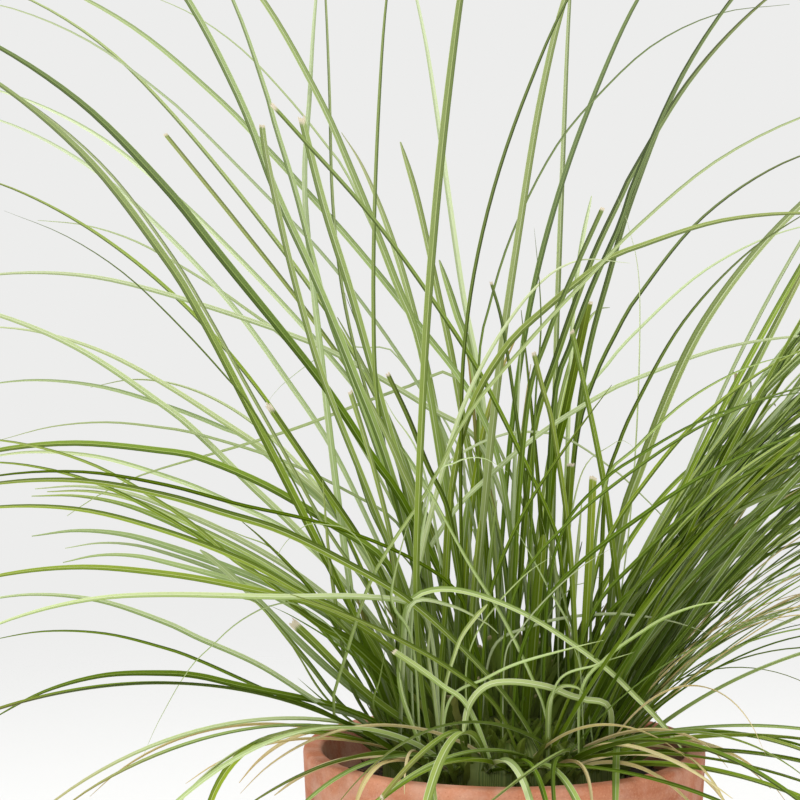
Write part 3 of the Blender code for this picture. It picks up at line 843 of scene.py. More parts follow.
# Leaves that the solids leave out
# Each row: finish, width as seen in pixels, layer in mm (below 0 is nearer), how it ends, where its
# root shows across, route as seen from there up, and for a leaf that goes on, length and turn as above
seenLeaves = (
    # leaning left, high
    ("mid", 5, 44, "long", 470, "455,640 430,540 395,440 352,352 310,288 240,196 164,105", 150, 34),
    ("mid", 7, -20, "cut", 440, "415,620 370,500 325,385 305,320 285,245 266,160 261,126"),
    ("mid", 5.5, 17, "long", 452, "430,620 380,460 330,320 312,255 295,190 275,126 266,94", 150, 26),
    ("soft", 3, 66, "long", 500, "470,560 420,350 355,190 320,137 285,94", 120, 30),
    ("mid", 3.5, 22, "long", 470, "440,620 395,480 360,370 342,290 332,200 329,94", 150, 20),
    ("olive", 4, -6, "long", 455, "430,620 395,500 377,400 373,310 374,205 379,94", 130, 15),
    ("mid", 9, 60, "blunt", 500, "485,560 455,380 436,290 417,200 401,142"),
    ("mid", 9, 64, "blunt", 505, "495,560 472,370 456,312 440,260"),
    ("soft", 3.5, 36, "long", 495,
     "475,530 445,435 420,388 373,318 322,254 273,203 200,129 164,96", 150, 36),
    # upright and leaning right
    ("dark", 3.6, -23, "long", 470, "462,560 462,410 466,335 477,260 497,178 526,94", 140, 30),
    ("dark", 2.6, 28, "long", 495, "480,560 479,370 490,305 514,230 555,149 600,94", 120, 50),
    ("dark", 2.4, -28, "fine", 520, "530,560 536,400 541,335 540,290 534,228"),
    ("light", 5, 62, "blunt", 560, "566,500 572,330 580,255 592,196"),
    ("dark", 5, -26, "cut", 520, "515,600 527,410 548,335 573,275 603,209"),
    ("dark", 5, -4, "long", 545, "546,560 555,400 570,348 592,288 620,225 636,178", 180, 34),
    ("light", 1.6, 10, "fine", 605, "632,500 640,300 628,225 616,195"),
    ("olive", 6, -33, "cut", 575, "570,560 553,430 543,390 534,354"),
    ("dark", 4, -15, "cut", 545, "541,640 537,560 526,490 515,410 502,325 491,283"),
    ("dark", 5, 13, "long", 548, "545,640 540,520 534,440 527,365 521,310"),
    ("dark", 4, 20, "long", 560, "565,560 577,440 595,378 620,327 636,300", 160, 50),
    ("light", 3, 33, "long", 568, "566,560 580,410 605,368 636,332", 150, 46),
    ("dark", 3.5, -37, "long", 480, "484,660 490,600 503,557 530,502 570,442 612,385"),
    ("light", 2.5, 8, "fine", 405,
     "408,620 428,490 452,460 485,441 520,432 565,438 615,471 636,490", 60, 20),
    ("light", 3, -31, "fine", 415, "412,620 432,487 455,463 482,458 508,472"),
    ("light", 2, -12, "fine", 560, "560,600 580,478 610,446 625,441 635,450"),
    ("dark", 3.5, -9, "long", 600, "600,620 605,495 617,450 636,405", 140, 40),
    ("mid", 3, -30, "fine", 590, "592,600 605,485 636,448", 100, 40),
    ("dark", 3, -39, "fine", 540, "548,600 565,526 605,480 636,458", 100, 30),
    ("dark", 3, -43, "long", 500, "503,660 512,605 530,565 575,517 636,469", 120, 30),
    ("olive", 4, -24, "long", 580, "583,660 597,567 615,527 636,495", 130, 35),
    ("dark", 4, -46, "long", 510, "520,660 545,603 580,563 636,520", 120, 25),
    ("dark", 4, -35, "long", 575, "580,660 598,605 636,562", 130, 35),
    ("dark", 4, -27, "long", 580, "588,670 605,620 636,588", 120, 30),
    ("dark", 4, 4, "long", 600, "604,660 622,595 636,570", 140, 40),
    ("mid", 3.5, -42, "long", 388,
     "350,728 333,707 346,657 375,573 430,487 470,412 540,329 590,276 636,228", 150, 40),
    # low in front
    ("light", 4.5, -60, "long", 400, "404,660 412,604 450,606 485,623 498,634"),
    ("fresh", 4.5, -61, "blunt", 440, "443.7,707 447.7,680 453.7,660 461.7,637 475,617 487,604"),
    ("fresh", 7, -66, "blunt", 604, "608,709 585,700 570,696 547,687 513,682 487,686 470,705 464,735"),
    ("fresh", 4.5, -68, "long", 545, "549,707 560,688 577,688 585,697"),
    ("fresh", 3, -64, "fine", 440, "450,701 486,679 520,663 575,647 604,640"),
    ("light", 3, -30, "fine", 480, "493,650 530,627 570,617 612,614 636,616", 40, 20),
    ("fresh", 3.5, -58, "fine", 575, "582,692 605,660 636,636", 60, 30),
    ("fresh", 2.5, -70, "fine", 545, "556,686 597,665 634,652"),
    ("olive", 4.5, -66, "long", 520, "495,707 450,669 400,640 350,617 290,594"),
    ("fresh", 6, -72, "cut", 490, "467,707 440,685 394,651"),
    ("fresh", 3, -63, "fine", 420, "412,645 394,608 392,585 405,533 412,518"),
    ("fresh", 4, -62, "long", 440, "433,695 428,655 431,621"),
    ("mid", 3, -60, "fine", 385, "373,707 379,680 385,650"),
    # low to the left
    ("light", 5, -34, "long", 400, "360,720 325,707 260,666 200,639 164,622", 100, 40),
    ("dark", 3, -28, "long", 392, "325,712 270,692 200,661 164,648", 90, 36),
    ("soft", 1.3, -42, "fine", 400,
     "350,650 300,606 271,606 250,615 231,628 214,644 195,662 180,683 167,706", 30, 10),
    ("mid", 1.6, -30, "fine", 395, "360,722 332,707 298,678"),
    ("mid", 2.5, -24, "fine", 395, "330,703 300,658 285,635"),
    ("mid", 5, -18, "long", 400, "365,718 342,707 305,660 262,607 240,598"),
    ("dark", 2, -47, "fine", 400, "370,675 335,643 295,618 268,605"),
    ("soft", 1.4, -50, "fine", 420, "370,560 320,524 289,539 269,571"),
    # arching left, middle height
    ("soft", 3, 24, "long", 470, "430,600 400,527 350,493 280,460 200,435 164,428", 90, 30),
    ("moss", 7, -11, "long", 425, "405,620 385,562 330,524 265,486 200,459 164,452", 140, 36),
    ("soft", 3.5, 40, "long", 560,
     "540,560 490,430 452,374 410,386 360,404 300,427 240,446 164,468", 60, 20),
    ("deep", 3.5, -40, "long", 480, "470,640 455,590 400,553 320,523 240,505 164,485", 120, 34),
    ("soft", 5, 56, "long", 430, "370,560 260,450 220,427 164,405", 120, 30),
    ("light", 6, 48, "long", 450, "400,600 330,505 268,453 220,420 164,384", 120, 30),
    ("light", 5, 42, "long", 420, "370,620 300,540 220,498 164,476", 120, 34),
    ("olive", 4, -21, "long", 400, "360,650 310,600 245,568 205,535 164,505", 120, 40),
    ("olive", 4, -14, "long", 400, "330,640 262,578 215,548 164,516", 110, 36),
    ("olive", 5, -31, "long", 410, "385,665 350,617 300,592 245,562 164,531", 130, 40),
    ("soft", 8, 38, "blunt", 410, "340,680 240,585 215,562 200,550"),
    ("mid", 2, 8, "fine", 400, "330,620 280,555 240,535 200,520"),
    ("dark", 4, 2, "long", 400, "350,650 313,592 268,545 240,520"),
    ("light", 2, 52, "fine", 500, "470,480 400,360 370,348 330,351 283,384 266,405"),
    ("soft", 3.5, 58, "long", 470, "400,520 305,363 240,305 174,262", 90, 30),
    ("dark", 1.8, -26, "fine", 400, "330,560 262,425 220,370 164,310", 90, 30),
    ("mid", 3.5, 10, "long", 412, "402,640 392,560 370,508 350,448 325,385"),
    ("mid", 4, -20, "long", 388, "352,690 338,620 328,550 323,480"),
    ("dark", 5.5, -38, "cut", 470, "462,600 448,514 427,466 408,417 388,374"),
    ("light", 3, -10, "long", 455, "440,560 420,460 393,415 385,400"),
    ("mid", 6, -29, "cut", 410, "400,640 392,550 373,470 350,392"),
    ("mid", 8, -16, "long", 440, "432,620 418,515 402,470 385,430 362,385"),
    # the soft mass behind, low on the left
    ("mid", 7, 46, "long", 420, "380,660 300,590 230,552 164,520", 80, 30),
    ("soft", 7, 50, "long", 425, "385,665 310,605 235,570 164,545", 80, 30),
    ("light", 6, 54, "long", 430, "390,655 305,580 230,535 164,506", 80, 30),
    ("soft", 6, 47, "long", 415, "370,672 300,612 240,583 164,562", 60, 30),
    ("light", 5, 52, "long", 420, "372,665 290,603 220,572 164,553", 60, 30),
    ("mid", 6, 44, "long", 430, "400,680 330,610 260,560 164,513", 70, 30),
    # the close upright leaves over the crown
    ("olive", 5, -26, "long", 437, "442,660 447,600 452,470"),
    ("mid", 8, -14, "blunt", 455, "457,660 460,600 468,500"),
    ("olive", 6, -28, "blunt", 466, "470,660 474,600 480,520"),
    ("mid", 5, -4, "long", 486, "486,660 487,600 497,500"),
    ("mid", 4, 14, "long", 500, "498,660 497,600 492,500"),
    ("mid", 9, -12, "blunt", 508, "510,660 512,620 517,540"),
    ("olive", 12, -20, "blunt", 528, "534,660 538,600 545,535"),
    ("fresh", 5, 10, "long", 556, "557,660 556,600 550,500"),
    ("fresh", 5, -8, "long", 574, "574,660 575,600 582,500"),
    ("olive", 5, 18, "long", 588, "594,660 600,600 606,500"),
    ("mid", 4, 4, "long", 606, "611,660 614,600 622,510"),
    ("mid", 3.5, -13, "long", 440,
     "400,660 367,588 344,556 316,512 281,448 243,380 207,314 168,250", 150, 38),
    # fine leaves that cross the base
    ("fresh", 3.2, -45, "long", 550, "543,707 533,682 521,655 500,613 467,560 432,497 400,447"),
    ("fresh", 2.2, -36, "fine", 592, "580,664 572,634 564,615 550,591 536,565 514,526"),
    ("mid", 2.6, -32, "fine", 588, "580,664 574,634 568,615 560,583 550,551 541,518"),
    ("soft", 1.5, -20, "fine", 540, "545,630 569,590 584,583 604,575"),
    ("fresh", 1.5, -55, "fine", 580, "581,687 579,663 571,640"),
    ("light", 1.6, -50, "fine", 500, "505,660 519,632 545,600 580,568 612,548"),
    ("fresh", 1.8, -48, "fine", 470, "466,680 474,640 496,606 526,574 552,556"),
)


def rootOf(across, layer):
    # a root on the crown as near as it can be to where the leaf shows and to its layer
    x = (across - viewValues["clumpAcross"]) * viewValues["scale"]
    limit = crownForm["radius"] - layerForm["rim"]
    x = max(-limit, min(limit, x))
    room = math.sqrt(limit ** 2 - x ** 2)
    return onCrown(x, max(-room, min(room, layer)))


def makeFinishes(meshes, region):
    for finish, mesh in meshes.items():
        makePiece("blades_" + region + "_" + finish, mesh, leafMaterials[finish])


def makeSeenLeaves():
    meshes = {}
    for index, (finish, width, layer, tip, across, route, *onward) in enumerate(seenLeaves):
        layer /= 1000
        root = rootOf(across, layer)
        points = [root]
        for u, v in pairs(route):
            depth = fanned(layer, u, v)
            near = max(0, 1 - (root - seenPoint(u, v, depth)).length / layerForm["nearRoot"])
            points.append(seenPoint(u, v, depth + (root.y - layer) * near))
        points = goOn(points, *onward)
        draw = random.Random(firstSeeds["seen"] + index)
        dry = 0.1 * draw.random() ** 2
        addBlade(meshes.setdefault(finish, BladeMesh()), points, width * layerForm["widthSeen"], tip, 0,
                 toneOf(index + 80), dry, index + 200, segments=44, columns=7,
                 twist=math.radians(draw.uniform(-30, 30)), hand=handOf(points))
    makeFinishes(meshes, "seen")


makeSeenLeaves()
print("leaves over them made:", len(seenLeaves))

# Leaves that fill the clump on the sides that the view doesn't reach. Angles in degrees, lengths
# and widths in mm; each pair is a range. The windows of the view that they keep out of: left,
# right, top, bottom
wholeView = ((120, 645, 60, 714),)
backWindows = ((150, 645, 60, 652), (120, 396, 60, 715))
usualSheaf = {
    "cutShare": 0.0, "windows": wholeView, "onlyNear": False,
    "finishes": {"mid": 0.36, "dark": 0.26, "olive": 0.22, "light": 0.16},
}
sheaves = {
    "right": {
        "count": 72, "bearing": (-42, 42), "root": (14, 58), "lean": (2, 34), "tipLean": (40, 118),
        "length": (300, 450), "width": (2.6, 4.8), "cutShare": 0.05, "seed": 11,
        "windows": ((150, 575, 60, 714), (575, 645, 60, 610)),
    },
    "back": {
        "count": 40, "bearing": (48, 132), "root": (16, 58), "lean": (14, 44), "tipLean": (72, 122),
        "length": (240, 380), "width": (2.6, 4.8), "cutShare": 0.16, "seed": 12, "windows": backWindows,
    },
    "front": {
        "count": 24, "bearing": (222, 330), "root": (44, 59), "lean": (52, 76), "tipLean": (104, 138),
        "length": (150, 280), "width": (2.4, 4.4), "cutShare": 0.12, "seed": 13,
    },
    "hairs": {
        "count": 54, "bearing": (-60, 60), "root": (8, 58), "lean": (4, 44), "tipLean": (60, 150),
        "length": (160, 380), "width": (0.8, 1.5), "seed": 15,
    },
    "hairsBack": {
        "count": 26, "bearing": (60, 150), "root": (8, 58), "lean": (10, 50), "tipLean": (70, 150),
        "length": (140, 320), "width": (0.8, 1.5), "seed": 16, "windows": backWindows,
    },
    "stubs": {
        "count": 46, "bearing": (0, 360), "root": (18, 58), "lean": (2, 30), "tipLean": (8, 46),
        "length": (40, 105), "width": (3.0, 5.2), "seed": 17, "onlyNear": True,
    },
    "middle": {
        "count": 12, "bearing": (60, 150), "root": (4, 46), "lean": (0, 12), "tipLean": (6, 44),
        "length": (110, 230), "width": (2.4, 4.2), "seed": 20, "windows": (),
        "finishes": {"light": 0.3, "mid": 0.35, "olive": 0.15, "dark": 0.2},
    },
    "dry": {
        "count": 16, "bearing": (0, 360), "root": (46, 59), "lean": (48, 74), "tipLean": (104, 150),
        "length": (90, 170), "width": (1.8, 3.6), "seed": 18,
    },
}
sheafForm = {
    "mostInView": 0.06,             # share of a leaf that may show in the windows
    "tries": 40,
    "nearFrom": -0.012,             # the depth that counts as near
    "rootSpread": 34, "sway": 24,   # degrees
    "steps": 9,
    "hairWidth": 0.0016,
    "hairFinishes": ("light", "mid", "dark", "olive", "straw"),
}


def shareInView(points, form):
    # how much of a route shows in the windows, or of its near part
    inside = 0
    for point in points:
        if form["onlyNear"] and point.y > sheafForm["nearFrom"]:
            continue
        u, v = seenAt(point)
        inside += any(left < u < right and top < v < bottom for left, right, top, bottom in form["windows"])
    return inside / len(points)


def fillRoute(draw, form):
    bearing = math.radians(draw.uniform(*form["bearing"]))
    rootBearing = bearing + math.radians(draw.gauss(0, sheafForm["rootSpread"]))
    nearest, furthest = form["root"]
    outward = math.sqrt(draw.random())
    reach = (nearest + (furthest - nearest) * outward) / 1000
    points = [onCrown(*around(rootBearing, reach))]
    heading = Vector((*around(bearing), 0))
    side = Vector((-heading.y, heading.x, 0))
    low, high = form["lean"]
    lean = low + (high - low) * (0.35 * draw.random() + 0.65 * outward)
    tipLean = draw.uniform(*form["tipLean"])
    length = draw.uniform(*form["length"]) / 1000
    sway = math.radians(draw.uniform(-sheafForm["sway"], sheafForm["sway"]))
    for step in range(sheafForm["steps"]):
        share = (step + 0.5) / sheafForm["steps"]
        angle = math.radians(lean + (tipLean - lean) * share ** 1.25)
        out = heading * math.cos(sway * share * 2) + side * math.sin(sway * share * 2)
        way = out * math.sin(angle) + up * math.cos(angle)
        points.append(points[-1] + way * length / sheafForm["steps"])
    return points


def outOfView(draw, form):
    # a route that the view hardly shows, or None
    for _ in range(sheafForm["tries"]):
        points = fillRoute(draw, form)
        if shareInView(points, form) <= sheafForm["mostInView"]:
            return points
    return None


def pickFinish(draw, shares):
    value = draw.random()
    for finish, share in shares.items():
        value -= share
        if value <= 0:
            return finish
    return "mid"


def makeSheaves():
    regions = {}
    count = 0
    for region, form in sheaves.items():
        form = {**usualSheaf, **form}
        draw = random.Random(form["seed"])
        for index in range(form["count"]):
            points = outOfView(draw, form)
            if points is None:
                continue
            width = draw.uniform(*form["width"]) / 1000
            hair = width < sheafForm["hairWidth"]
            tip = "fine" if hair else "long"
            if draw.random() < form["cutShare"]:
                tip = "cut"
            finish = "straw" if region == "dry" else pickFinish(draw, form["finishes"])
            if hair:
                finish = draw.choice(sheafForm["hairFinishes"])
            mesh = regions.setdefault(region.replace("Back", ""), {}).setdefault(finish, BladeMesh())
            turn, tone = math.radians(draw.uniform(-40, 40)), draw.random()
            dry = draw.random() ** 2 * 0.8
            twist = math.radians(draw.uniform(-60, 60))
            addBlade(mesh, points, width, tip, turn, tone, dry, form["seed"] * 1000 + index, segments=28,
                     columns=5 if hair else 7, twist=twist, sheath=region != "dry")
            count += 1
    for region, meshes in regions.items():
        makeFinishes(meshes, region)
    return count


print("leaves of the other sides made:", makeSheaves())

# The crown: a rough core with close old sheaths standing out of it. Lengths and widths in mm, angles
# in degrees, but the splay in radians
sheathForm = {
    "count": 560, "length": (16, 46), "width": (3.2, 6.4), "lean": 38, "seed": 21,
    "inset": 0.003, "sink": 0.006,          # how far from the edge and how deep they start, in metres
    "frontFrom": -0.3, "frontTop": 716,     # at the front they stay below this line of the view
    "splay": 0.4, "leanVaries": (-4, 8), "bend": (0, 24), "turn": (-50, 50), "twist": (-40, 40),
    "shorten": 0.35, "cutShare": 0.15, "dry": 0.1,      # shorten: how much shorter they are at the edge
    "young": colour(102, 128, 20), "old": colour(88, 110, 14), "pale": colour(156, 160, 86),
    # deep: painted shade, laid on each sheath towards its root and on the core
    "deep": colour(44, 62, 2), "fibres": colour(178, 164, 118),
}
coreForm = {
    "rings": 14, "sides": 96, "inset": 0.002, "skirt": 0.6, "seed": 77,
    "flutes": ((23, 0.0012, 3), (41, 0.0009, -5)),      # how many, how deep in metres, and their slant
}


def makeCrownMaterial():
    material, room, shader = newMaterial("old_sheaths")
    form = sheathForm
    place = room.read("bladePlace")
    along = room.split(place)[1]
    tone, _, toCut = room.split(room.read("bladeLook"))
    veins = room.use(veinGroup, {"Place": place, "Veins": 11.0, "Uneven": 1.4})
    cut = room.use(cutGroup, {"Place": place, "Distance": toCut})
    base = room.layer(
        form["young"], (room.ramp(tone, 0.45, 0.6), form["old"]), (room.ramp(tone, 0.88, 0.98), form["pale"]))
    base = room.use(toneGroup, {"Color": base, "Tone": tone, "Spread": 0.5})["Color"]
    # painted shade: each sheath darkens towards its root, inside the tuft
    base = room.mix(room.ramp(along, 0.0, 0.75, 0.7, 0.0), base, form["deep"])
    base = room.mix(room.ramp(veins["Streaks"], 0.35, 0.75, 0.0, 0.5), base, form["pale"], "SOFT_LIGHT")
    base = room.layer(base, (room.times(veins["Veins"], 0.22), form["pale"]), (cut["Fibres"], form["fibres"]))
    room.dress(shader, base, room.scaled(veins["Streaks"], 0.3, 0.5), 0.5, (0.6, 0.0004, veins["Veins"]))
    return material


def addCore(mesh):
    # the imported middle: a fluted dome a little inside the sheaths
    rings, sides = coreForm["rings"], coreForm["sides"]
    skirt = crownForm["skirt"] * coreForm["skirt"]
    widest = crownForm["radius"] - coreForm["inset"]
    points, place = [], []
    draw = random.Random(coreForm["seed"])
    flutes = [(*flute, draw.uniform(0, 6.28)) for flute in coreForm["flutes"]]
    for ring in range(rings + 1):
        share = ring / rings
        for side in range(sides):
            angle = 2 * math.pi * side / sides
            rough = sum(
                deep * math.sin(many * angle + shift + slant * share) for many, deep, slant, shift in flutes)
            radius = widest * math.sin(share * math.pi / 2) ** 0.8 + rough * share
            height = skirt + (crownForm["rise"] - skirt) * math.cos(share * math.pi / 2) ** 0.7
            if ring == rings:
                height = 0
            points.append((*around(angle, radius), crownLow.z + height + rough))
            # along stays 0, so the core takes the full painted shade of the deep colour
            place.append((math.sin(11 * angle), 0, radius * 3))
    walls = np.roll(wallFaces(rings, sides)[:, ::-1], 1, axis=1)      # these rings run from the top down
    look = np.tile((0.3, 0, 1), (len(points), 1))
    mesh.add(np.array(points), walls, np.array(place), look, np.zeros(len(points)))


def makeCrown():
    form = sheathForm
    draw = random.Random(form["seed"])
    mesh = BladeMesh()
    addCore(mesh)
    for index in range(form["count"]):
        bearing = draw.uniform(0, 2 * math.pi)
        reach = (crownForm["radius"] - form["inset"]) * math.sqrt(draw.random())
        out = reach / crownForm["radius"]
        start = onCrown(*around(bearing, reach))
        start.z -= form["sink"] + form["sink"] * out
        first, second = (bearing + draw.gauss(0, form["splay"]) for _ in range(2))
        heading = Vector((math.cos(first), math.sin(second), 0))
        lean = math.radians(form["lean"] * out ** 1.5 + draw.uniform(*form["leanVaries"]))
        inFront = start.y < form["frontFrom"] * crownForm["radius"]
        length = draw.uniform(*form["length"]) / 1000 * (1.1 - form["shorten"] * out)
        if inFront:
            length = min(length, (seenAt(start)[1] - form["frontTop"]) * viewValues["scale"])
        lastLean = lean + math.radians(draw.uniform(*form["bend"]))
        points = leanOn(start, heading.normalized(), lean, lastLean, length, 4)
        tip = "cut" if draw.random() < form["cutShare"] and not inFront else "long"
        width = draw.uniform(*form["width"]) / 1000
        turn, tone = math.radians(draw.uniform(*form["turn"])), draw.random()
        twist = math.radians(draw.uniform(*form["twist"]))
        addBlade(mesh, points, width, tip, turn, tone, form["dry"], firstSeeds["sheath"] + index,
                 segments=10, columns=7, twist=twist)
    makePiece("old_sheath_tuft", mesh, makeCrownMaterial(), ["crown"])


makeCrown()
print("crown made")

# The soil: the solid keeps its shape, with bark and grit lying on it
soilForm = {
    "dark": colour(44, 34, 26), "light": colour(92, 74, 56), "wet": colour(24, 18, 14), "grain": 420.0,
    "seed": 31,
    "under": 0.006, "outer": 0.0865,        # metres: lumps lie from under the crown's edge out to here
}
# Sizes in mm; flat and stretch: how high and how long a lump may be for its size
scatterForms = {
    "soil_bark": {
        "finish": "bark_chips", "dark": colour(74, 52, 36), "light": colour(128, 98, 70),
        "count": 620, "size": (0.9, 3.4), "flat": (0.3, 0.7), "stretch": 2.2,
    },
    "soil_grit": {
        "finish": "pale_grit", "dark": colour(172, 166, 156), "light": colour(222, 218, 210),
        "count": 90, "size": (0.8, 2.4), "flat": (0.7, 1.0), "stretch": 1.2,
    },
}
lumpForm = {
    "grain": 900.0, "uneven": 0.22, "middles": 1.1,
    "shortest": 0.7, "narrowest": 0.5,      # shares of its size
    "tilt": 0.4, "raised": (0.05, 0.35), "clear": 0.0006,
}


def makeSoilMaterial(name, dark, light, size):
    material, room, shader = newMaterial(name)
    place = room.ownPlace()
    specks = room.use(speckGroup, {"Place": place, "Size": size, "Amount": 0.8})
    fine = room.noise(place, size * 2.4, 6.0, 0.7)
    base = room.layer(
        dark,
        (room.ramp(specks["Blotches"], 0.35, 0.7), light),
        (room.times(specks["Specks"], 0.6), soilForm["wet"]),
        (room.ramp(fine, 0.55, 0.8, 0.0, 0.6), light),
    )
    height = room.scaled(specks["Specks"], -0.6, fine)
    room.dress(shader, base, room.scaled(fine, -0.25, 1.0), 0.25, (0.9, 0.0016, height))
    return material


def lumpShape():
    # a cube with a raised middle on each side
    square = ((-1, -1), (1, -1), (1, 1), (-1, 1))
    corners = np.array([(x, y, z) for z in (-1, 1) for x, y in square]) * 0.577     # on a unit ball
    middles = [lumpForm["middles"] * way * axis for axis in np.eye(3) for way in (1, -1)]
    sides = ((1, 2, 6, 5), (3, 0, 4, 7), (2, 3, 7, 6), (0, 1, 5, 4), (4, 5, 6, 7), (3, 2, 1, 0))
    faces = [[8 + side, ring[i], ring[(i + 1) % 4]] for side, ring in enumerate(sides) for i in range(4)]
    return np.vstack([corners, middles]), faces


def makeScatter(name, form, seed):
    # small lumps on the ring of soil between the crown and the pot
    draw = random.Random(seed)
    shape, faces = lumpShape()
    points, allFaces = [], []
    for _ in range(form["count"]):
        size = draw.uniform(*form["size"]) / 1000
        reach = draw.uniform(crownForm["radius"] - soilForm["under"], soilForm["outer"])
        angle = draw.uniform(0, 2 * math.pi)
        sizes = [
            draw.uniform(lumpForm["shortest"], form["stretch"]), draw.uniform(lumpForm["narrowest"], 1),
            draw.uniform(*form["flat"]),
        ]
        uneven = np.array([draw.uniform(-1, 1) for _ in shape])
        lump = shape * sizes * size / 2 * (1 + lumpForm["uneven"] * uneven[:, None])
        leaning = Vector((draw.gauss(0, lumpForm["tilt"]), draw.gauss(0, lumpForm["tilt"]), 1))
        tilt = up.rotation_difference(leaning).to_matrix()
        cos, sin = around(draw.uniform(0, 2 * math.pi))
        lump = lump @ np.array([[cos, -sin, 0], [sin, cos, 0], [0, 0, 1]]).T @ np.array(tilt).T
        height = soilLevel + size * draw.uniform(*lumpForm["raised"]) + lumpForm["clear"]
        allFaces += [[corner + len(shape) * len(points) for corner in face] for face in faces]
        points.append(lump + (*around(angle, reach), height))
    data = bpy.data.meshes.new(name)
    data.from_pydata(np.vstack(points).tolist(), [], allFaces)
    data.materials.append(makeSoilMaterial(form["finish"], form["dark"], form["light"], lumpForm["grain"]))
    piece = addItem(name, data)
    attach(piece, "root")


def makeSoil():
    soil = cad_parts["soil"]
    soil.data.materials.clear()
    soil.data.materials.append(
        makeSoilMaterial("potting_soil", soilForm["dark"], soilForm["light"], soilForm["grain"]))
    for index, (name, form) in enumerate(scatterForms.items()):
        makeScatter(name, form, soilForm["seed"] + index)


makeSoil()
print("soil made")

# The pot: a plain thrown clay pot with a collar
potForm = {
    "sides": 160, "height": potHigh.z, "baseRadius": 0.0675, "neckRadius": 0.0920, "collarRadius": 0.1000,
    "collarHeight": 0.032, "flare": 0.0015, "floor": 0.009, "innerBase": 0.0595, "innerTop": 0.0920,
    "round": 0.0028, "neckRound": 0.0012, "innerRound": 0.006, "roundSteps": 5,
    "middle": 0.02, "longest": 0.008,       # where the flat middle of the floor starts; the longest step
    "drainRadius": 0.006, "drainCircle": 0.034, "drainBearing": math.radians(33.3), "drains": 3,
    "drainSides": 32, "sharp": math.radians(38),
    "clay": colour(188, 112, 76), "pale": colour(220, 168, 136), "deep": colour(150, 80, 52),
    "bloom": colour(224, 206, 190),
}


def roundedCorner(before, point, after, radius):
    start = point + (before - point).normalized() * radius
    end = point + (after - point).normalized() * radius
    arc = []
    for step in range(potForm["roundSteps"] + 1):
        t = step / potForm["roundSteps"]
        arc.append(start * (1 - t) ** 2 + point * 2 * t * (1 - t) + end * t ** 2)
    return arc


def potOutline():
    # the turned outline from the middle of the base to the middle of the floor
    form = potForm
    foot = form["height"] - form["collarHeight"]
    top = form["collarRadius"] + form["flare"]
    corners = (
        (form["baseRadius"], 0.0, form["round"]), (form["neckRadius"], foot, form["neckRound"]),
        (form["collarRadius"], foot, form["round"]), (top, form["height"], form["round"]),
        (form["innerTop"], form["height"], form["round"]),
        (form["innerBase"], form["floor"], form["innerRound"]),
    )
    knots = [Vector((0, 0))] + [Vector(place[:2]) for place in corners] + [Vector((0, form["floor"]))]
    outline = [knots[0], Vector((form["middle"], 0))]
    for before, point, after, (_, _, radius) in zip(knots, knots[1:], knots[2:], corners):
        last = outline[-1]
        arc = roundedCorner(before, point, after, radius)
        run = arc[0] - last
        pieces = max(1, int(run.length / form["longest"]))
        outline += [last + run * step / pieces for step in range(1, pieces)]
        outline += arc
    return outline + [Vector((form["middle"], form["floor"])), knots[-1]]


def makeClayMaterial():
    form = potForm
    material, room, shader = newMaterial("terracotta")
    place = room.ownPlace()
    specks = room.use(speckGroup, {"Place": place, "Size": 520.0, "Amount": 0.35})
    grain = room.noise(place, 900.0, 5.0, 0.65)
    cloud = room.noise(place, 14.0, 5.0, 0.6)
    bands = room.noise(room.stretch(place, (8, 8, 90)), 1.0, 3.0, 0.5)
    # a pale bloom of salts at the foot and, fainter, high on the side, by heights in metres
    drift = room.scaled(cloud, 0.05, room.split(place)[2])
    high, foot = room.ramp(drift, 0.135, 0.165), room.ramp(drift, 0.03, 0.062, 1.0, 0.0)
    bloom = room.math("ADD", room.times(high, 0.35), foot)
    bloom = room.times(bloom, room.ramp(specks["Blotches"], 0.42, 0.68))
    # edges worn pale
    bevel = room.add("ShaderNodeBevel", {"Radius": 0.0016}, samples=4).outputs[0]
    normals = {0: bevel, 1: room.add("ShaderNodeNewGeometry").outputs["Normal"]}
    edge = room.add("ShaderNodeVectorMath", normals, operation="DOT_PRODUCT").outputs["Value"]
    worn = room.times(room.ramp(edge, 0.99, 0.9), room.ramp(grain, 0.35, 0.6))
    base = room.layer(
        form["clay"],
        (room.ramp(cloud, 0.3, 0.7), form["deep"]),
        (room.ramp(bands, 0.42, 0.7, 0.0, 0.35), form["pale"]),
        (room.ramp(grain, 0.45, 0.75, 0.0, 0.35), form["pale"]),
        (room.times(specks["Specks"], 0.35), form["deep"]),
        (room.times(bloom, 0.55), form["bloom"]),
        (room.times(worn, 0.5), form["pale"]),
    )
    height = room.scaled(bands, 0.8, room.times(grain, 0.35))
    height = room.scaled(specks["Specks"], -0.3, height)
    room.dress(shader, base, room.scaled(grain, 0.2, 0.74), 0.3, (0.5, 0.0006, height))
    return material


def lathe(name, outline, sides):
    points, faces, rings = [], [], []
    for radius, height in outline:
        if radius == 0:
            rings.append([len(points)] * sides)
            points.append((0, 0, height))
            continue
        rings.append(list(range(len(points), len(points) + sides)))
        points += [(*around(2 * math.pi * side / sides, radius), height) for side in range(sides)]
    for inner, outer in zip(rings, rings[1:]):
        for side in range(sides):
            after = (side + 1) % sides
            face = [inner[side], outer[side], outer[after], inner[after]]
            faces.append(list(dict.fromkeys(face))[::-1])
    data = bpy.data.meshes.new(name)
    data.from_pydata(points, [], faces)
    return addItem(name, data)


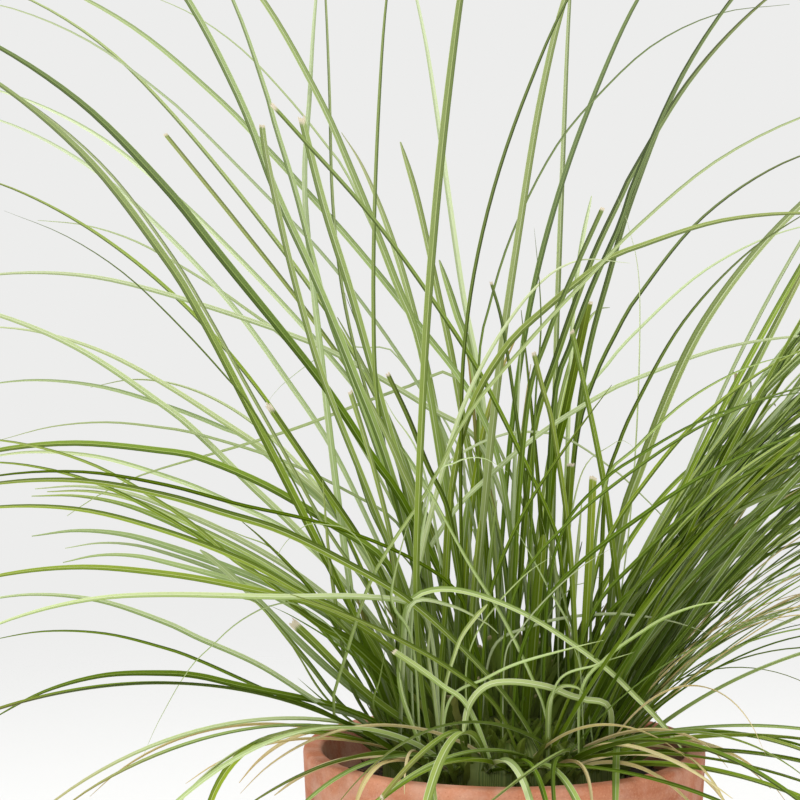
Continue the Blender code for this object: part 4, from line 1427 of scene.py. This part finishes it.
def drill(pot, angle):
    radius, deep = potForm["drainRadius"], potForm["floor"]
    outline = [(0, -deep), (radius, -deep), (radius, 2 * deep), (0, 2 * deep)]
    cutter = lathe("drainCutter", outline, potForm["drainSides"])
    cutter.location = (*around(angle, potForm["drainCircle"]), 0)
    cut = pot.modifiers.new("drain", "BOOLEAN")
    cut.operation = "DIFFERENCE"
    cut.object = cutter
    bpy.context.view_layer.update()
    shape = bpy.data.meshes.new_from_object(pot.evaluated_get(bpy.context.evaluated_depsgraph_get()))
    pot.modifiers.clear()
    pot.data = shape
    bpy.data.objects.remove(cutter)


def makePot():
    pot = lathe("clay_pot", potOutline(), potForm["sides"])
    for hole in range(potForm["drains"]):
        drill(pot, potForm["drainBearing"] + 2 * math.pi * hole / potForm["drains"])
    pot.data.shade_smooth()
    pot.data.set_sharp_from_angle(angle=potForm["sharp"])
    pot.data.materials.clear()
    pot.data.materials.append(makeClayMaterial())
    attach(pot, "root")
    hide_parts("pot")


makePot()
print("pot made")

# The plain floor, which fades into the studio's light far from the pot, and the lights
stageValues = {
    "floorRadius": 6.0, "floorSides": 64, "fadeFrom": 0.45, "fadeTo": 1.7,
    "floor": (0.80, 0.80, 0.79, 1), "studio": (0.847, 0.847, 0.84, 1), "fill": 0.80,
}
# Watts, metres across, and place
lights = {
    "key": (40, 1.7, (-0.9, -1.1, 2.3)),
    "rim": (12, 1.2, (1.3, 1.2, 1.9)),
    "front": (10, 1.3, (0.3, -1.9, 0.62)),
}


def makeFloor():
    floor = lathe("floor", [(stageValues["floorRadius"], 0), (0, 0)], stageValues["floorSides"])
    material, room, shader = newMaterial("floor")
    values = {"Base Color": stageValues["floor"], "Roughness": 0.9, "Specular IOR Level": 0.0}
    for name, value in values.items():
        shader.inputs[name].default_value = value
    reach = room.add("ShaderNodeVectorMath", {0: room.ownPlace()}, operation="LENGTH").outputs["Value"]
    fade = room.ramp(reach, stageValues["fadeFrom"], stageValues["fadeTo"])
    clear = room.add("ShaderNodeBsdfTransparent")
    mixed = room.add("ShaderNodeMixShader", {0: fade, 1: shader.outputs[0], 2: clear.outputs[0]})
    room.fill(material.node_tree.nodes["Material Output"].inputs["Surface"], mixed.outputs[0])
    floor.data.materials.append(material)


def makeWorld():
    # an even light, with the studio's wall colour where the camera looks past everything
    world = bpy.data.worlds.new("studio")
    bpy.context.scene.world = world
    world.use_nodes = True
    room = NodeRoom(world.node_tree)
    seen = room.add("ShaderNodeLightPath").outputs["Is Camera Ray"]
    shown = world.node_tree.nodes["Background"]
    shown.inputs["Color"].default_value = stageValues["studio"]
    lit = room.add("ShaderNodeBackground", {"Color": (1, 1, 1, 1), "Strength": stageValues["fill"]})
    mixed = room.add("ShaderNodeMixShader", {0: seen, 1: lit.outputs[0], 2: shown.outputs[0]})
    room.fill(world.node_tree.nodes["World Output"].inputs["Surface"], mixed.outputs[0])


def makeLight(name, power, size, place, target):
    data = bpy.data.lights.new(name, "AREA")
    data.shape = "DISK"
    data.size = size
    data.energy = power
    light = addItem(name, data)
    light.location = place
    aim(light, target - Vector(place))


makeFloor()
makeWorld()
for name, (power, size, place) in lights.items():
    makeLight(name, power, size, place, (solidLow + solidHigh) / 2)
bpy.context.scene.view_settings.view_transform = "Standard"
print("floor and lights placed")
